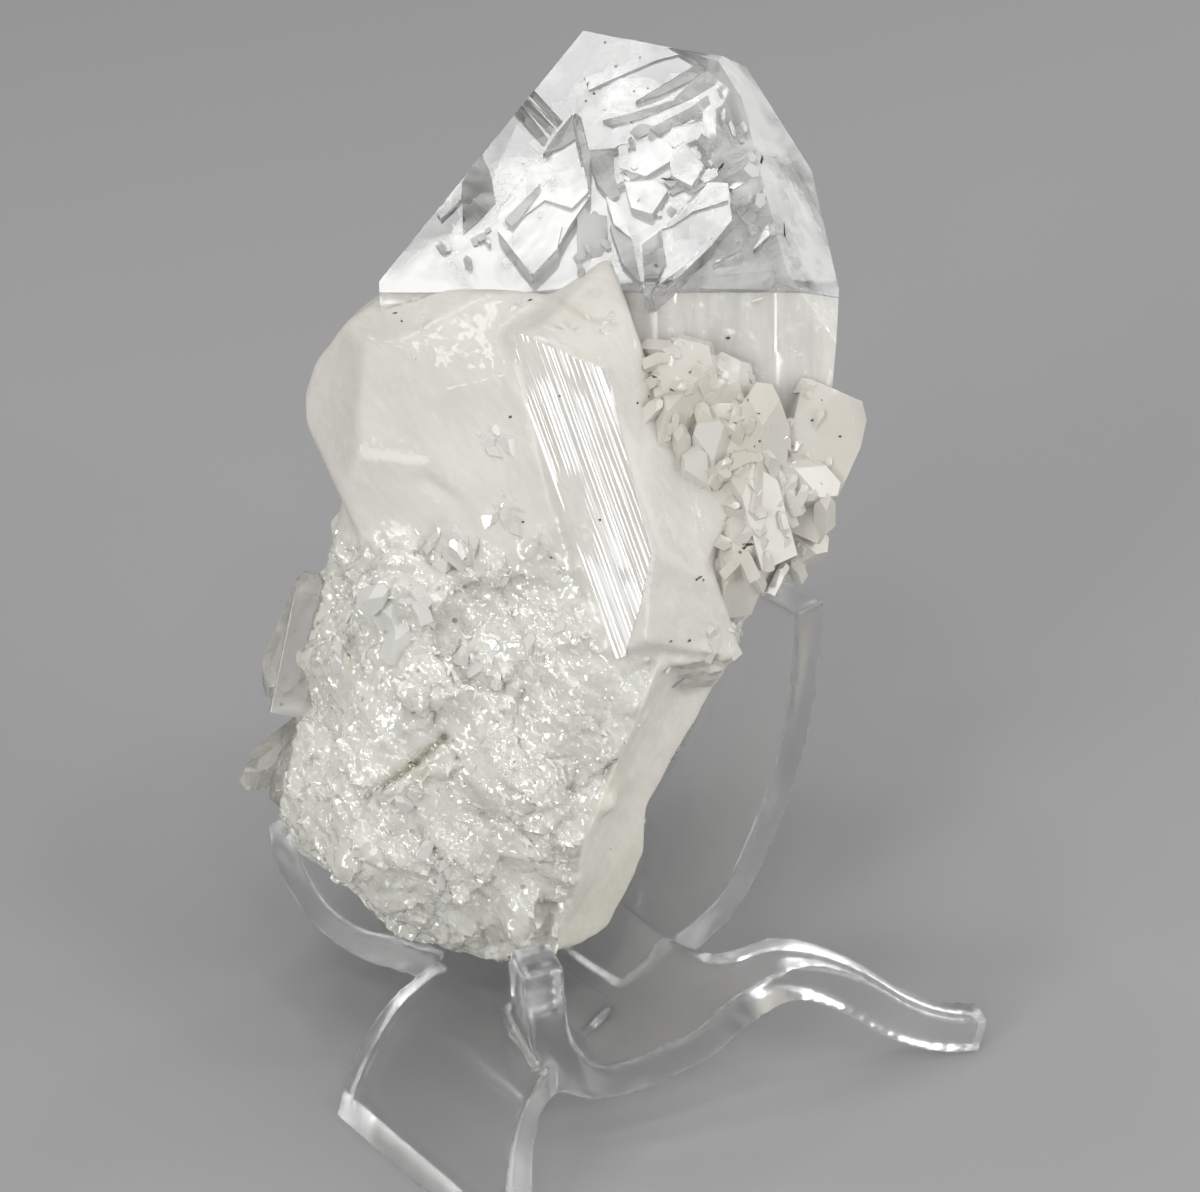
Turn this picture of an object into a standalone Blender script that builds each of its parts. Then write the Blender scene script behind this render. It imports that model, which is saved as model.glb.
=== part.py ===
"""Apophyllite cluster leaning back on a bent clear acrylic stand.

The cluster is one grown-together piece: a large pyramidal crystal, a milky block and a striated
crystal in front of it, a frosted broken mass below and small crystals along both flanks.
Its crystals are closed convex blocks joined into one solid.  They are laid out in the cluster's
own frame: x to the right, y up its long axis, z towards the viewer, in millimetres.
The stand is one bent sheet with a lip, a seat, three feet and two supports.
"""
import math
import random

import bmesh
import bpy
from mathutils import Euler, Matrix, Vector

MM = 0.001

# Placing of the cluster: it leans back from upright and its lowest tip is over the seat
CLUSTER_LEAN = 30.0
CLUSTER_TIP = (0.0, 0.0, 10.0)

# Middle of both pieces' outline seen from above, which becomes the part's origin
OUTLINE_CENTRE = (5.925, 9.79)

# Apophyllite's steep pyramid faces lie this far from the crystal's long axis
PYRAMID_SLOPE = 29.7

# Large crystal at the top
TOP_SHOULDER = 70.5
TOP_FRONT = 12.0
TOP_BACK = -17.0
OVERGROWTH_RISE = 1.6

# Sheet of the stand
SHEET = 4.4
STAND_HEADING = 20.0


def facing(turn, tip):
    """Unit direction: turn degrees from the viewer to the right, then tip degrees upwards."""
    turn = math.radians(turn)
    tip = math.radians(tip)
    return Vector((math.cos(tip) * math.sin(turn), math.sin(tip), math.cos(tip) * math.cos(turn)))


def cut_flat(bm, point, normal):
    """Cut away all that lies beyond a plane and close the cut with one flat face."""
    parts = bm.verts[:] + bm.edges[:] + bm.faces[:]
    cut = bmesh.ops.bisect_plane(bm, geom=parts, plane_co=point, plane_no=normal,
                                 dist=1e-5, clear_outer=True)
    rim = [item for item in cut["geom_cut"] if isinstance(item, bmesh.types.BMEdge)]
    if rim:
        bmesh.ops.contextual_create(bm, geom=rim)


def new_object(name, bm, collection):
    """Turn a finished mesh in millimetres into an object in metres."""
    bmesh.ops.recalc_face_normals(bm, faces=bm.faces)
    bmesh.ops.scale(bm, vec=(MM, MM, MM), verts=bm.verts)
    mesh = bpy.data.meshes.new(name)
    bm.to_mesh(mesh)
    bm.free()
    piece = bpy.data.objects.new(name, mesh)
    collection.objects.link(piece)
    return piece


def block(name, centre, size, faces, collection):
    """Irregular block: a box with flat faces, each given as (point, turn, tip)."""
    bm = bmesh.new()
    bmesh.ops.create_cube(bm, size=1.0)
    bmesh.ops.scale(bm, vec=size, verts=bm.verts)
    bmesh.ops.translate(bm, vec=centre, verts=bm.verts)
    for point, turn, tip in faces:
        cut_flat(bm, Vector(point), facing(turn, tip))
    return new_object(name, bm, collection)


def crystal(name, top, width, depth, length, cap, lean, nod, twist, collection, corner=45.0):
    """Prism with a steep pyramid: top is the middle of its flat end, lean is clockwise in the
    picture, nod is towards the viewer, twist is about its own axis, corner turns the pyramid."""
    bm = bmesh.new()
    bmesh.ops.create_cube(bm, size=1.0)
    bmesh.ops.scale(bm, vec=(width, length, depth), verts=bm.verts)
    bmesh.ops.translate(bm, vec=(0.0, -length / 2, 0.0), verts=bm.verts)
    for side in range(4):
        normal = facing(corner + 90.0 * side, PYRAMID_SLOPE)
        flat = Vector((normal.x, 0.0, normal.z)).normalized()
        cut_flat(bm, flat * cap, normal)
    turn = (Matrix.Rotation(math.radians(-lean), 4, "Z") @ Matrix.Rotation(math.radians(nod), 4, "X")
            @ Matrix.Rotation(math.radians(twist), 4, "Y"))
    bmesh.ops.transform(bm, matrix=Matrix.Translation(top) @ turn, verts=bm.verts)
    return new_object(name, bm, collection)


def chunk(name, centre, size, seed, collection, corners=16):
    """Broken lump: the hull of a few points scattered over an ellipsoid."""
    scatter = random.Random(seed)
    bm = bmesh.new()
    for _ in range(corners):
        way = Vector([scatter.gauss(0.0, 1.0) for _ in range(3)]).normalized()
        reach = scatter.uniform(0.86, 1.0)
        bm.verts.new([c + s * w * reach / 2 for c, s, w in zip(centre, size, way)])
    bmesh.ops.convex_hull(bm, input=bm.verts[:])
    return new_object(name, bm, collection)


def top_crystal(parts):
    """Large glassy crystal with a thin flat edge at its tip."""
    faces = [
        ((-18.3, 71.4, 0.0), -90, 36.5),
        ((2.4, 99.4, 0.0), 90, 77.0),
        ((20.5, 95.5, 0.0), 90, 31.0),
        ((26.0, 86.6, 0.0), 86, 12.0),
        ((29.0, 69.9, 0.0), 88, -5.0),
        ((-18.3, 71.4, 0.0), -90, -4.0),
        ((0.0, TOP_SHOULDER, TOP_FRONT), -3, 27.0),
        ((0.0, TOP_SHOULDER, TOP_FRONT), 0, -5.0),
        ((0.0, TOP_SHOULDER, TOP_BACK), 180, 24.0),
        ((0.0, TOP_SHOULDER, TOP_BACK), 180, -4.0),
        ((20.0, 94.0, -1.0), 52, 26.0),
        ((18.0, 94.0, -5.0), 128, 27.0),
        ((1.0, 98.6, -6.0), 228, 30.0),
        ((19.3, 37.0, 4.0), 88, -38.0),
        ((24.0, 44.0, 8.0), 60, -34.0),
        ((15.0, 44.0, -4.0), 134, -38.0),
    ]
    block("top", (5.4, 66.0, 0.0), (52.0, 72.0, 40.0), faces, parts)


def top_overgrowths(parts):
    """Low crystals grown in step with the large one, standing slightly proud of its front."""
    front = (0.0, TOP_SHOULDER, TOP_FRONT + OVERGROWTH_RISE)
    blade = [
        (front, -6, 28),
        ((1.6, 88.7, 8.0), -80, 33),
        ((1.6, 88.7, 8.0), 80, 10),
        ((3.2, 80.0, 8.0), 80, -38),
        ((-6.4, 76.7, 8.0), -80, -37),
    ]
    block("blade", (-1.6, 80.0, 6.0), (16.0, 20.0, 20.0), blade, parts)
    shield = [
        (front, 2, 26),
        ((8.3, 76.7, 10.0), -80, 50),
        ((8.3, 76.7, 10.0), -80, -9),
        ((9.3, 70.4, 10.0), 80, -49),
        ((17.7, 80.8, 9.0), 80, -6),
        ((17.7, 80.8, 9.0), 40, 72),
    ]
    block("shield", (13.0, 76.0, 7.0), (14.0, 16.0, 20.0), shield, parts)
    crystal("spur_a", (21.6, 81.5, 7.4), 5.0, 5.0, 14.0, 0.6, 8, 16, 40, parts)
    crystal("spur_b", (25.4, 80.5, 4.6), 4.4, 4.4, 14.0, 0.6, 8, 14, 50, parts)
    crystal("spur_c", (6.6, 85.0, 7.0), 5.5, 5.5, 14.0, 0.8, 4, 18, 38, parts)
    crystal("spur_d", (-9.4, 80.4, 8.4), 6.0, 5.5, 12.0, 0.6, -14, 18, 30, parts)


def milky_block(parts):
    """Smooth milky crystal on the left, its free end rounded by many small faces."""
    faces = [
        ((-18.6, 70.9, 5.0), -72, 56),
        ((-22.5, 67.0, 5.0), -86, 40),
        ((-25.4, 63.4, 5.0), -86, 18),
        ((-26.4, 60.2, 5.0), -90, -6),
        ((-25.9, 56.5, 5.0), -88, -25),
        ((-3.5, 62.4, 10.0), 90, 17),
        ((-14.0, 71.8, 9.0), 4, 70),
        ((-12.0, 69.0, 13.0), -14, 44),
        ((-10.0, 64.0, 15.6), 6, 20),
        ((-16.0, 58.0, 16.4), -12, 3),
        ((-22.0, 60.0, 13.0), -50, 4),
        ((-15.0, 50.0, 16.0), -14, -16),
    ]
    block("milky", (-12.0, 57.0, 4.0), (34.0, 32.0, 28.0), faces, parts)


def striated_crystal(parts):
    """Long crystal in the middle whose bright prism face carries fine ridges."""
    faces = [
        ((4.0, 62.6, 19.5), -24, -7),
        ((4.0, 62.6, 19.5), 40, 12),
        ((4.0, 62.6, 19.5), 8, 36),
        ((0.8, 70.5, 13.0), -40, 50),
        ((-4.5, 62.5, 16.0), -90, -17),
        ((9.4, 43.3, 20.0), 30, -12),
        ((11.5, 33.0, 14.0), 14, -64),
        ((8.8, 63.8, 10.0), 90, 18),
        ((16.8, 31.0, 0.0), 90, -29),
    ]
    block("striated", (6.0, 52.0, 8.0), (34.0, 44.0, 28.0), faces, parts)


def frosted_mass(parts):
    """Broken frosted body with a smooth cleaved flank at the lower right."""
    body = [
        ((-27.5, 27.0, 2.0), -88, 12),
        ((-29.5, 18.0, 2.0), -86, -30),
        ((-22.0, 9.0, 2.0), -80, -44),
        ((-12.0, 2.6, 1.0), -60, -67),
        ((12.0, 25.0, 0.0), 90, -29),
        ((3.3, 2.5, 0.0), 88, -72),
        ((6.0, 16.0, 6.0), 70, -24),
        ((-8.0, 8.0, 8.0), 4, -40),
        ((-10.0, 22.0, 13.5), -2, -8),
        ((-10.0, 50.0, 13.0), -6, 4),
        ((-22.0, 28.0, 10.0), -46, 4),
        ((0.0, 0.4, 4.4), 180, -60),
        ((0.0, 14.0, -12.0), 180, -14),
        ((-22.0, 13.0, -7.0), -130, -24),
        ((12.9, 38.0, -8.0), 140, 23),
        ((18.4, 38.0, -3.8), 120, 14),
    ]
    block("frosted", (-6.0, 28.0, 2.0), (54.0, 62.0, 34.0), body, parts)
    upper = [
        ((16.8, 31.0, 0.0), 90, -29),
        ((4.2, 24.4, 13.0), 52, -22),
        ((12.0, 36.5, 10.0), 10, 60),
        ((6.0, 24.0, 14.5), 0, -10),
        ((0.0, 12.0, 0.0), 0, -88),
        ((0.0, 24.0, -10.6), 180, -20),
        ((12.9, 38.0, -8.0), 140, 23),
        ((18.4, 38.0, -3.8), 120, 14),
    ]
    block("flank_upper", (7.0, 26.0, 0.0), (26.0, 30.0, 32.0), upper, parts)
    lower = [
        ((9.2, 17.0, -4.0), 90, -3),
        ((8.9, 12.0, -4.0), 90, -25),
        ((5.3, 4.2, -2.0), 90, -50),
        ((3.3, 2.6, 0.0), 60, -84),
        ((4.2, 24.4, 13.0), 52, -22),
        ((4.2, 24.4, 13.0), -40, -9),
        ((0.0, 0.4, 4.4), 180, -60),
        ((0.0, 12.0, -11.0), 180, -14),
    ]
    block("flank_lower", (4.0, 13.0, 0.0), (18.0, 26.0, 32.0), lower, parts)


def frosted_lumps(parts):
    """Ledges and lumps over the front of the frosted mass."""
    lumps = [
        ((-14.0, 40.0, 11.5), (17.0, 15.0, 12.0)),
        ((-20.0, 33.0, 9.0), (14.0, 15.0, 13.0)),
        ((-6.0, 33.0, 13.5), (16.0, 16.0, 12.0)),
        ((-17.0, 23.0, 11.0), (16.0, 15.0, 12.0)),
        ((-24.0, 22.0, 5.0), (11.0, 15.0, 12.0)),
        ((-3.0, 22.0, 12.5), (15.0, 14.0, 12.0)),
        ((-10.0, 14.0, 9.0), (15.0, 15.0, 12.0)),
        ((-17.0, 13.0, 6.0), (12.0, 13.0, 12.0)),
        ((-23.0, 14.0, 3.0), (11.0, 11.0, 11.0)),
        ((-4.0, 8.5, 6.0), (9.0, 13.0, 10.0)),
        ((2.0, 29.0, 12.0), (13.0, 12.0, 10.0)),
        ((-11.0, 47.0, 12.0), (15.0, 12.0, 11.0)),
        ((-19.0, 45.0, 7.0), (11.0, 14.0, 12.0)),
        ((1.5, 36.0, 13.5), (12.0, 11.0, 10.0)),
        ((-12.0, 31.0, 14.0), (12.0, 10.0, 9.0)),
        ((-10.0, 6.0, 4.0), (11.0, 10.0, 9.0)),
    ]
    for index, (centre, size) in enumerate(lumps):
        chunk(f"lump_{index}", centre, size, 40 + index, parts)


def back_lumps(parts):
    """Broken ledges and a few stubby crystals over the hidden back."""
    lumps = [
        ((-14.0, 52.0, -9.0), (20.0, 18.0, 10.0)),
        ((-20.0, 38.0, -7.0), (14.0, 18.0, 12.0)),
        ((-8.0, 38.0, -11.0), (17.0, 18.0, 9.0)),
        ((2.0, 46.0, -14.0), (16.0, 16.0, 9.0)),
        ((-16.0, 25.0, -7.0), (16.0, 15.0, 11.0)),
        ((-2.0, 26.0, -10.0), (15.0, 16.0, 8.0)),
        ((12.0, 60.0, -15.0), (16.0, 13.0, 8.0)),
    ]
    for index, (centre, size) in enumerate(lumps):
        chunk(f"back_{index}", centre, size, 80 + index, parts)
    crystal("back_a", (-16.0, 64.0, -12.0), 9.0, 8.0, 16.0, 1.4, -22, -12, 30, parts)
    crystal("back_b", (2.0, 58.0, -19.0), 8.0, 7.0, 14.0, 1.2, 10, -18, 20, parts)
    crystal("back_c", (-24.0, 48.0, -8.0), 6.5, 6.0, 14.0, 1.0, -50, -14, 40, parts)


def right_cluster(parts):
    """Small beige crystals along the right flank, pointing up and outwards."""
    rows = [
        ((13.8, 65.8, 15.5), 8.5, 7.0, 16.0, 1.2, 14, 14, 40),
        ((18.0, 63.5, 13.0), 6.0, 6.0, 14.0, 0.9, 24, 10, 20),
        ((16.0, 57.5, 17.5), 6.4, 6.0, 12.0, 1.0, 4, 20, 45),
        ((20.6, 60.8, 14.5), 4.6, 4.6, 13.0, 0.8, 6, 4, 50),
        ((28.6, 60.2, 11.0), 7.6, 4.4, 15.0, 1.8, 24, 6, 12),
        ((28.4, 50.0, 12.0), 5.0, 4.6, 16.0, 0.7, 104, 6, 30),
        ((27.6, 44.4, 8.0), 6.0, 4.0, 14.0, 0.8, 96, 4, 25),
        ((23.0, 41.4, 6.0), 4.6, 4.0, 12.0, 0.8, 128, 4, 40),
        ((22.4, 51.2, 13.6), 5.4, 5.0, 12.0, 0.9, 34, 20, 35),
        ((19.6, 48.8, 14.6), 5.6, 5.6, 12.0, 1.0, 20, 26, 50),
        ((23.6, 57.0, 10.6), 5.2, 4.6, 14.0, 0.9, 40, 12, 15),
        ((18.2, 54.0, 15.8), 4.4, 4.0, 12.0, 0.7, -16, 18, 25),
    ]
    for index, (top, width, depth, length, cap, lean, nod, twist) in enumerate(rows):
        crystal(f"right_{index}", top, width, depth, length, cap, lean, nod, twist, parts)


def small_crystals(parts):
    """Small clear crystals set in the front and along the left flank."""
    rows = [
        ((-6.2, 58.6, 17.6), 4.2, 4.2, 9.0, 0.7, -6, 18, 45),
        ((-5.6, 50.4, 18.0), 4.4, 4.0, 9.0, 0.7, -20, 16, 30),
        ((-9.6, 47.6, 17.8), 5.6, 5.0, 9.0, 1.0, -36, 22, 40),
        ((-8.2, 36.4, 20.6), 4.8, 4.6, 8.0, 0.9, 8, 44, 45),
        ((-9.6, 74.6, 11.6), 5.6, 5.0, 10.0, 0.8, -8, 14, 30),
        ((-1.8, 72.6, 15.4), 4.6, 4.0, 8.0, 0.8, 6, 24, 20),
        ((-5.2, 72.2, 14.6), 4.0, 4.0, 8.0, 0.6, -22, 18, 44),
        ((-24.6, 41.6, 4.0), 5.2, 3.0, 15.0, 1.4, 12, 4, 10),
        ((-33.4, 19.4, 0.0), 3.6, 3.4, 13.0, 0.6, -128, 4, 40),
        ((-30.2, 28.6, 1.0), 3.8, 3.4, 12.0, 0.6, -158, 2, 20),
        ((-29.6, 17.6, 2.5), 5.0, 4.0, 12.0, 0.8, -142, 6, 25),
        ((-25.0, 12.0, 5.0), 4.6, 4.6, 11.0, 0.8, -132, 12, 40),
    ]
    for index, (top, width, depth, length, cap, lean, nod, twist) in enumerate(rows):
        crystal(f"small_{index}", top, width, depth, length, cap, lean, nod, twist, parts)


def union_all(name, first, collection, cutter=None):
    """Join every solid of a collection with the first one, then take the cutter away from it."""
    collection.objects.unlink(first)
    bpy.context.scene.collection.objects.link(first)
    join = first.modifiers.new("join", "BOOLEAN")
    join.operation = "UNION"
    join.solver = "EXACT"
    join.operand_type = "COLLECTION"
    join.collection = collection
    if cutter:
        trim = first.modifiers.new("trim", "BOOLEAN")
        trim.operation = "DIFFERENCE"
        trim.solver = "EXACT"
        trim.object = cutter
    bpy.context.view_layer.update()
    evaluated = first.evaluated_get(bpy.context.evaluated_depsgraph_get())
    mesh = bpy.data.meshes.new_from_object(evaluated)
    mesh.name = name
    for piece in list(collection.objects):
        bpy.data.objects.remove(piece)
    bpy.data.objects.remove(first)
    return mesh


def tidy_mesh(mesh):
    """Weld doubled points and clear needle triangles left by a union."""
    bm = bmesh.new()
    bm.from_mesh(mesh)
    bmesh.ops.remove_doubles(bm, verts=bm.verts, dist=2e-5)
    bmesh.ops.dissolve_degenerate(bm, edges=bm.edges, dist=2e-5)
    bmesh.ops.triangulate(bm, faces=bm.faces)
    bmesh.ops.dissolve_degenerate(bm, edges=bm.edges, dist=2e-5)
    bm.to_mesh(mesh)
    bm.free()


def make_cluster(model, parts):
    """All crystals and lumps as one solid, leaning back over the seat."""
    for grow in (top_crystal, top_overgrowths, milky_block, striated_crystal, frosted_mass,
                 frosted_lumps, back_lumps, right_cluster, small_crystals):
        grow(parts)
    mesh = union_all("apophyllite_cluster", bpy.data.objects["frosted"], parts)
    tidy_mesh(mesh)
    cluster = bpy.data.objects.new("apophyllite_cluster", mesh)
    cluster.rotation_euler = Euler((math.radians(90.0 - CLUSTER_LEAN), 0.0, 0.0))
    cluster.location = Vector(CLUSTER_TIP) * MM
    model.objects.link(cluster)
    return cluster


def smooth_route(stops, steps=5):
    """Catmull-Rom curve through the stops, so bends in the sheet run smoothly."""
    rows = [Vector(stop) for stop in stops]
    rows = [rows[0] * 2 - rows[1]] + rows + [rows[-1] * 2 - rows[-2]]
    route = []
    for a, b, c, d in zip(rows, rows[1:], rows[2:], rows[3:]):
        for step in range(steps):
            t = step / steps
            route.append(0.5 * (2 * b + (c - a) * t + (2 * a - 5 * b + 4 * c - d) * t * t
                                + (3 * b - a - 3 * c + d) * t ** 3))
    route.append(rows[-2])
    return route


def strip(name, start, heading, stops, collection, skew=0.0):
    """Bent strip of sheet: stops are (along, height, near side, far side) from its start,
    and skew slants its ends by so much along for each unit across."""
    along = Vector((math.cos(math.radians(heading)), math.sin(math.radians(heading)), 0.0))
    across = Vector((-along.y, along.x, 0.0))
    bm = bmesh.new()
    rails = []
    for run, height, near, far in smooth_route([Vector(stop) for stop in stops]):
        middle = Vector((start[0], start[1], height)) + along * run
        slant = across + along * skew
        rails.append([bm.verts.new(middle + slant * side) for side in (near, far)])
    for here, there in zip(rails, rails[1:]):
        bm.faces.new((here[0], there[0], there[1], here[1]))
    piece = new_object(name, bm, collection)
    thick = piece.modifiers.new("sheet", "SOLIDIFY")
    thick.thickness = SHEET * MM
    thick.offset = 0.0
    thick.use_even_offset = True
    return piece


def make_stand(model, parts, cutters):
    """One bent sheet: lip, seat and tail in one sweep, two more feet and two supports."""
    strip("lip_seat_tail", (5.7, -15.5), STAND_HEADING, [
        (-7.4, 23.4, 0.0, 5.0),
        (-7.2, 18.5, 0.0, 5.5),
        (-6.4, 13.4, 0.0, 9.0),
        (-3.8, 9.0, 0.0, 26.0),
        (0.6, 7.4, 0.0, 31.0),
        (6.0, 8.4, 0.0, 31.0),
        (10.0, 9.8, 0.0, 25.0),
        (14.0, 12.8, 0.0, 9.0),
        (20.0, 14.6, 0.0, 6.0),
        (26.2, 11.4, 0.0, 5.0),
        (32.0, 6.4, 0.0, 4.5),
        (37.0, 3.4, 0.0, 4.0),
        (42.0, 2.0, 0.0, 3.5),
    ], parts)
    strip("front_foot", (-5.4, -6.0), 240.0, [
        (-9.0, 8.3, -9.4, 9.4),
        (-2.0, 8.6, -9.4, 9.4),
        (4.0, 9.2, -10.0, 10.0),
        (9.0, 8.6, -10.6, 10.8),
        (13.0, 5.8, -11.2, 12.4),
        (15.4, 2.0, -11.8, 14.6),
        (16.4, -3.0, -12.2, 15.4),
    ], parts, skew=0.38)
    strip("back_support", (12.8, 5.8), 42.0, [
        (-8.0, 7.0, 0.0, 16.0),
        (-3.0, 7.8, 0.0, 17.0),
        (3.0, 9.0, 0.0, 18.0),
        (7.8, 11.2, 0.0, 18.0),
        (11.2, 15.4, 0.0, 17.0),
        (14.4, 21.4, 0.0, 15.0),
        (16.8, 28.6, 0.0, 13.5),
        (18.0, 36.0, 0.0, 12.5),
        (18.2, 44.0, 0.0, 12.0),
    ], parts)
    strip("left_support", (-14.4, 2.8), -35.0, [
        (9.0, 8.6, 3.0, 14.0),
        (2.0, 8.8, 0.0, 15.0),
        (-4.0, 8.0, 0.0, 16.0),
        (-9.0, 7.4, 0.0, 16.0),
        (-13.8, 8.6, 0.0, 15.0),
        (-17.1, 11.6, 0.0, 14.0),
        (-18.8, 14.8, 0.0, 12.0),
        (-19.3, 18.4, 0.0, 9.0),
    ], parts)
    strip("rear_foot", (-1.0, 14.0), 90.0, [
        (-6.0, 8.7, -9.0, 9.0),
        (2.0, 10.1, -10.0, 10.0),
        (10.0, 12.4, -10.5, 10.5),
        (20.0, 12.6, -10.0, 10.0),
        (29.0, 8.0, -9.0, 9.0),
        (34.0, 2.0, -8.5, 8.5),
        (36.0, -3.0, -8.0, 8.0),
    ], parts)
    floor = block("floor_cutter", (0.0, 0.0, -20.0), (200.0, 200.0, 40.0), [], cutters)
    floor.hide_render = True
    floor.display_type = "WIRE"
    mesh = union_all("display_stand", bpy.data.objects["lip_seat_tail"], parts, floor)
    tidy_mesh(mesh)
    stand = bpy.data.objects.new("display_stand", mesh)
    model.objects.link(stand)
    return stand


def material(name, colour, roughness, transmission, ior):
    """Principled surface with the part's colour and finish."""
    surface = bpy.data.materials.new(name)
    surface.use_nodes = True
    shader = surface.node_tree.nodes["Principled BSDF"]
    shader.inputs["Base Color"].default_value = (*colour, 1.0)
    shader.inputs["Roughness"].default_value = roughness
    shader.inputs["Metallic"].default_value = 0.0
    shader.inputs["Transmission Weight"].default_value = transmission
    shader.inputs["IOR"].default_value = ior
    return surface


def main():
    """Clear the scene and build both pieces."""
    for old in list(bpy.data.objects):
        bpy.data.objects.remove(old)
    model = bpy.data.collections.new("apophyllite_on_stand")
    parts = bpy.data.collections.new("crystals_to_join")
    cutters = bpy.data.collections.new("cutters")
    for collection in (model, parts, cutters):
        bpy.context.scene.collection.children.link(collection)
    cluster = make_cluster(model, parts)
    stand = make_stand(model, parts, cutters)
    cluster.data.materials.append(material("apophyllite", (0.86, 0.86, 0.83), 0.25, 0.5, 1.535))
    stand.data.materials.append(material("clear_acrylic", (0.97, 0.98, 0.98), 0.03, 1.0, 1.49))
    root = bpy.data.objects.new("placing", None)
    root.location = Vector((-OUTLINE_CENTRE[0], -OUTLINE_CENTRE[1], 0.0)) * MM
    model.objects.link(root)
    for piece in (cluster, stand):
        piece.parent = root


main()
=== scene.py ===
"""Looks of the apophyllite cluster on its clear stand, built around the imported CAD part.

Shapes are laid out in the cluster's own frame, in millimetres: x to the right, y up its long
axis, z towards the viewer.  Points taken from the photograph are pixels of its 1200 x 1192 frame.
"""
import contextlib
import itertools
import math
import random

import bmesh
import bpy
import numpy as np
from mathutils import Euler, Matrix, Vector, noise
from mathutils.bvhtree import BVHTree


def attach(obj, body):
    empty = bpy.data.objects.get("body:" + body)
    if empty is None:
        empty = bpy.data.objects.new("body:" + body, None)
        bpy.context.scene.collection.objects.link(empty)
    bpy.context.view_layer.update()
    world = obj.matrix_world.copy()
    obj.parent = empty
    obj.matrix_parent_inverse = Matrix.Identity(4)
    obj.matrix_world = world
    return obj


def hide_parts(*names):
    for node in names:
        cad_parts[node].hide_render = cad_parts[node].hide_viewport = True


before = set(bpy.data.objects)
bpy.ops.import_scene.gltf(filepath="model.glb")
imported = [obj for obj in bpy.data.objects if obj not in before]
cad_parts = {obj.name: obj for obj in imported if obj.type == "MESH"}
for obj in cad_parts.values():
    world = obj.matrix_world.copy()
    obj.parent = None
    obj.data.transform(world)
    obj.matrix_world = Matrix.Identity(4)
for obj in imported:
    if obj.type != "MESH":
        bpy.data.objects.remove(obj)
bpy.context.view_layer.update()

MM = 0.001
WELD = 0.02 * MM

# Width of the cells from which the body's, the cloudy heart's and the stand's skins are made
BODY_SKIN = 0.39
CORE_SKIN = 0.9
STAND_SKIN = 0.42

# Placing, repeated from the part: lean of the cluster, its foot, and the outline's middle
CLUSTER_LEAN = 30
CLUSTER_TIP = Vector((0, 0, 10))
OUTLINE_CENTRE = Vector((5.925, 9.79, 0))
PLACING = (Matrix.Scale(MM, 4) @ Matrix.Translation(CLUSTER_TIP - OUTLINE_CENTRE)
           @ Euler((math.radians(90 - CLUSTER_LEAN), 0, 0)).to_matrix().to_4x4())
STAND_PLACING = Matrix.Scale(MM, 4) @ Matrix.Translation(-OUTLINE_CENTRE)

# Camera in the cluster's frame: its distance in front, its place and its focal length in pixels
EYE = Vector((4.2, 39.4, 320))
FOCAL = 3040
PHOTO_WIDTH = 1200
PHOTO_MIDDLE = (600, 596)

# Apophyllite's steep pyramid faces lie this many degrees from the crystal's long axis
PYRAMID_SLOPE = 29.7

# Large crystal: height of its cleavage line, and its front and back there
TOP_SHOULDER = 70.5
TOP_FRONT = 12
TOP_BACK = -17


def facing(turn, tip):
    """Unit direction: turn degrees from the viewer to the right, then tip degrees upwards."""
    turn = math.radians(turn)
    tip = math.radians(tip)
    return Vector((math.cos(tip) * math.sin(turn), math.sin(tip), math.cos(tip) * math.cos(turn)))


def sight(px, py):
    """Direction in the cluster's frame in which the camera sees a pixel of the photograph."""
    return Vector(((px - PHOTO_MIDDLE[0]) / FOCAL, (PHOTO_MIDDLE[1] - py) / FOCAL, -1))


def on_plane(px, py, point, normal):
    """Point seen at a pixel on a plane."""
    ray = sight(px, py)
    return EYE + ray * ((Vector(point) - EYE).dot(normal) / ray.dot(normal))


@contextlib.contextmanager
def opened(mesh):
    """A mesh opened for editing, and written back afterwards."""
    bm = bmesh.new()
    bm.from_mesh(mesh)
    yield bm
    bm.to_mesh(mesh)
    bm.free()


def link(thing):
    bpy.context.scene.collection.objects.link(thing)


def faced_out(bm):
    """The same mesh with its faces looking out."""
    bmesh.ops.recalc_face_normals(bm, faces=bm.faces)
    return bm


def cut_flat(bm, point, normal):
    """Cut away all that lies beyond a plane and close the cut with one flat face."""
    parts = bm.verts[:] + bm.edges[:] + bm.faces[:]
    cut = bmesh.ops.bisect_plane(bm, geom=parts, plane_co=point, plane_no=normal,
                                 dist=1e-5, clear_outer=True)
    rim = [item for item in cut["geom_cut"] if isinstance(item, bmesh.types.BMEdge)]
    if rim:
        bmesh.ops.contextual_create(bm, geom=rim)


def block(centre, size, faces):
    """Irregular block: a box with flat faces, each given as (point, turn, tip)."""
    bm = bmesh.new()
    bmesh.ops.create_cube(bm, size=1)
    bmesh.ops.scale(bm, vec=size, verts=bm.verts)
    bmesh.ops.translate(bm, vec=centre, verts=bm.verts)
    for point, turn, tip in faces:
        cut_flat(bm, Vector(point), facing(turn, tip))
    return faced_out(bm)


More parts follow.
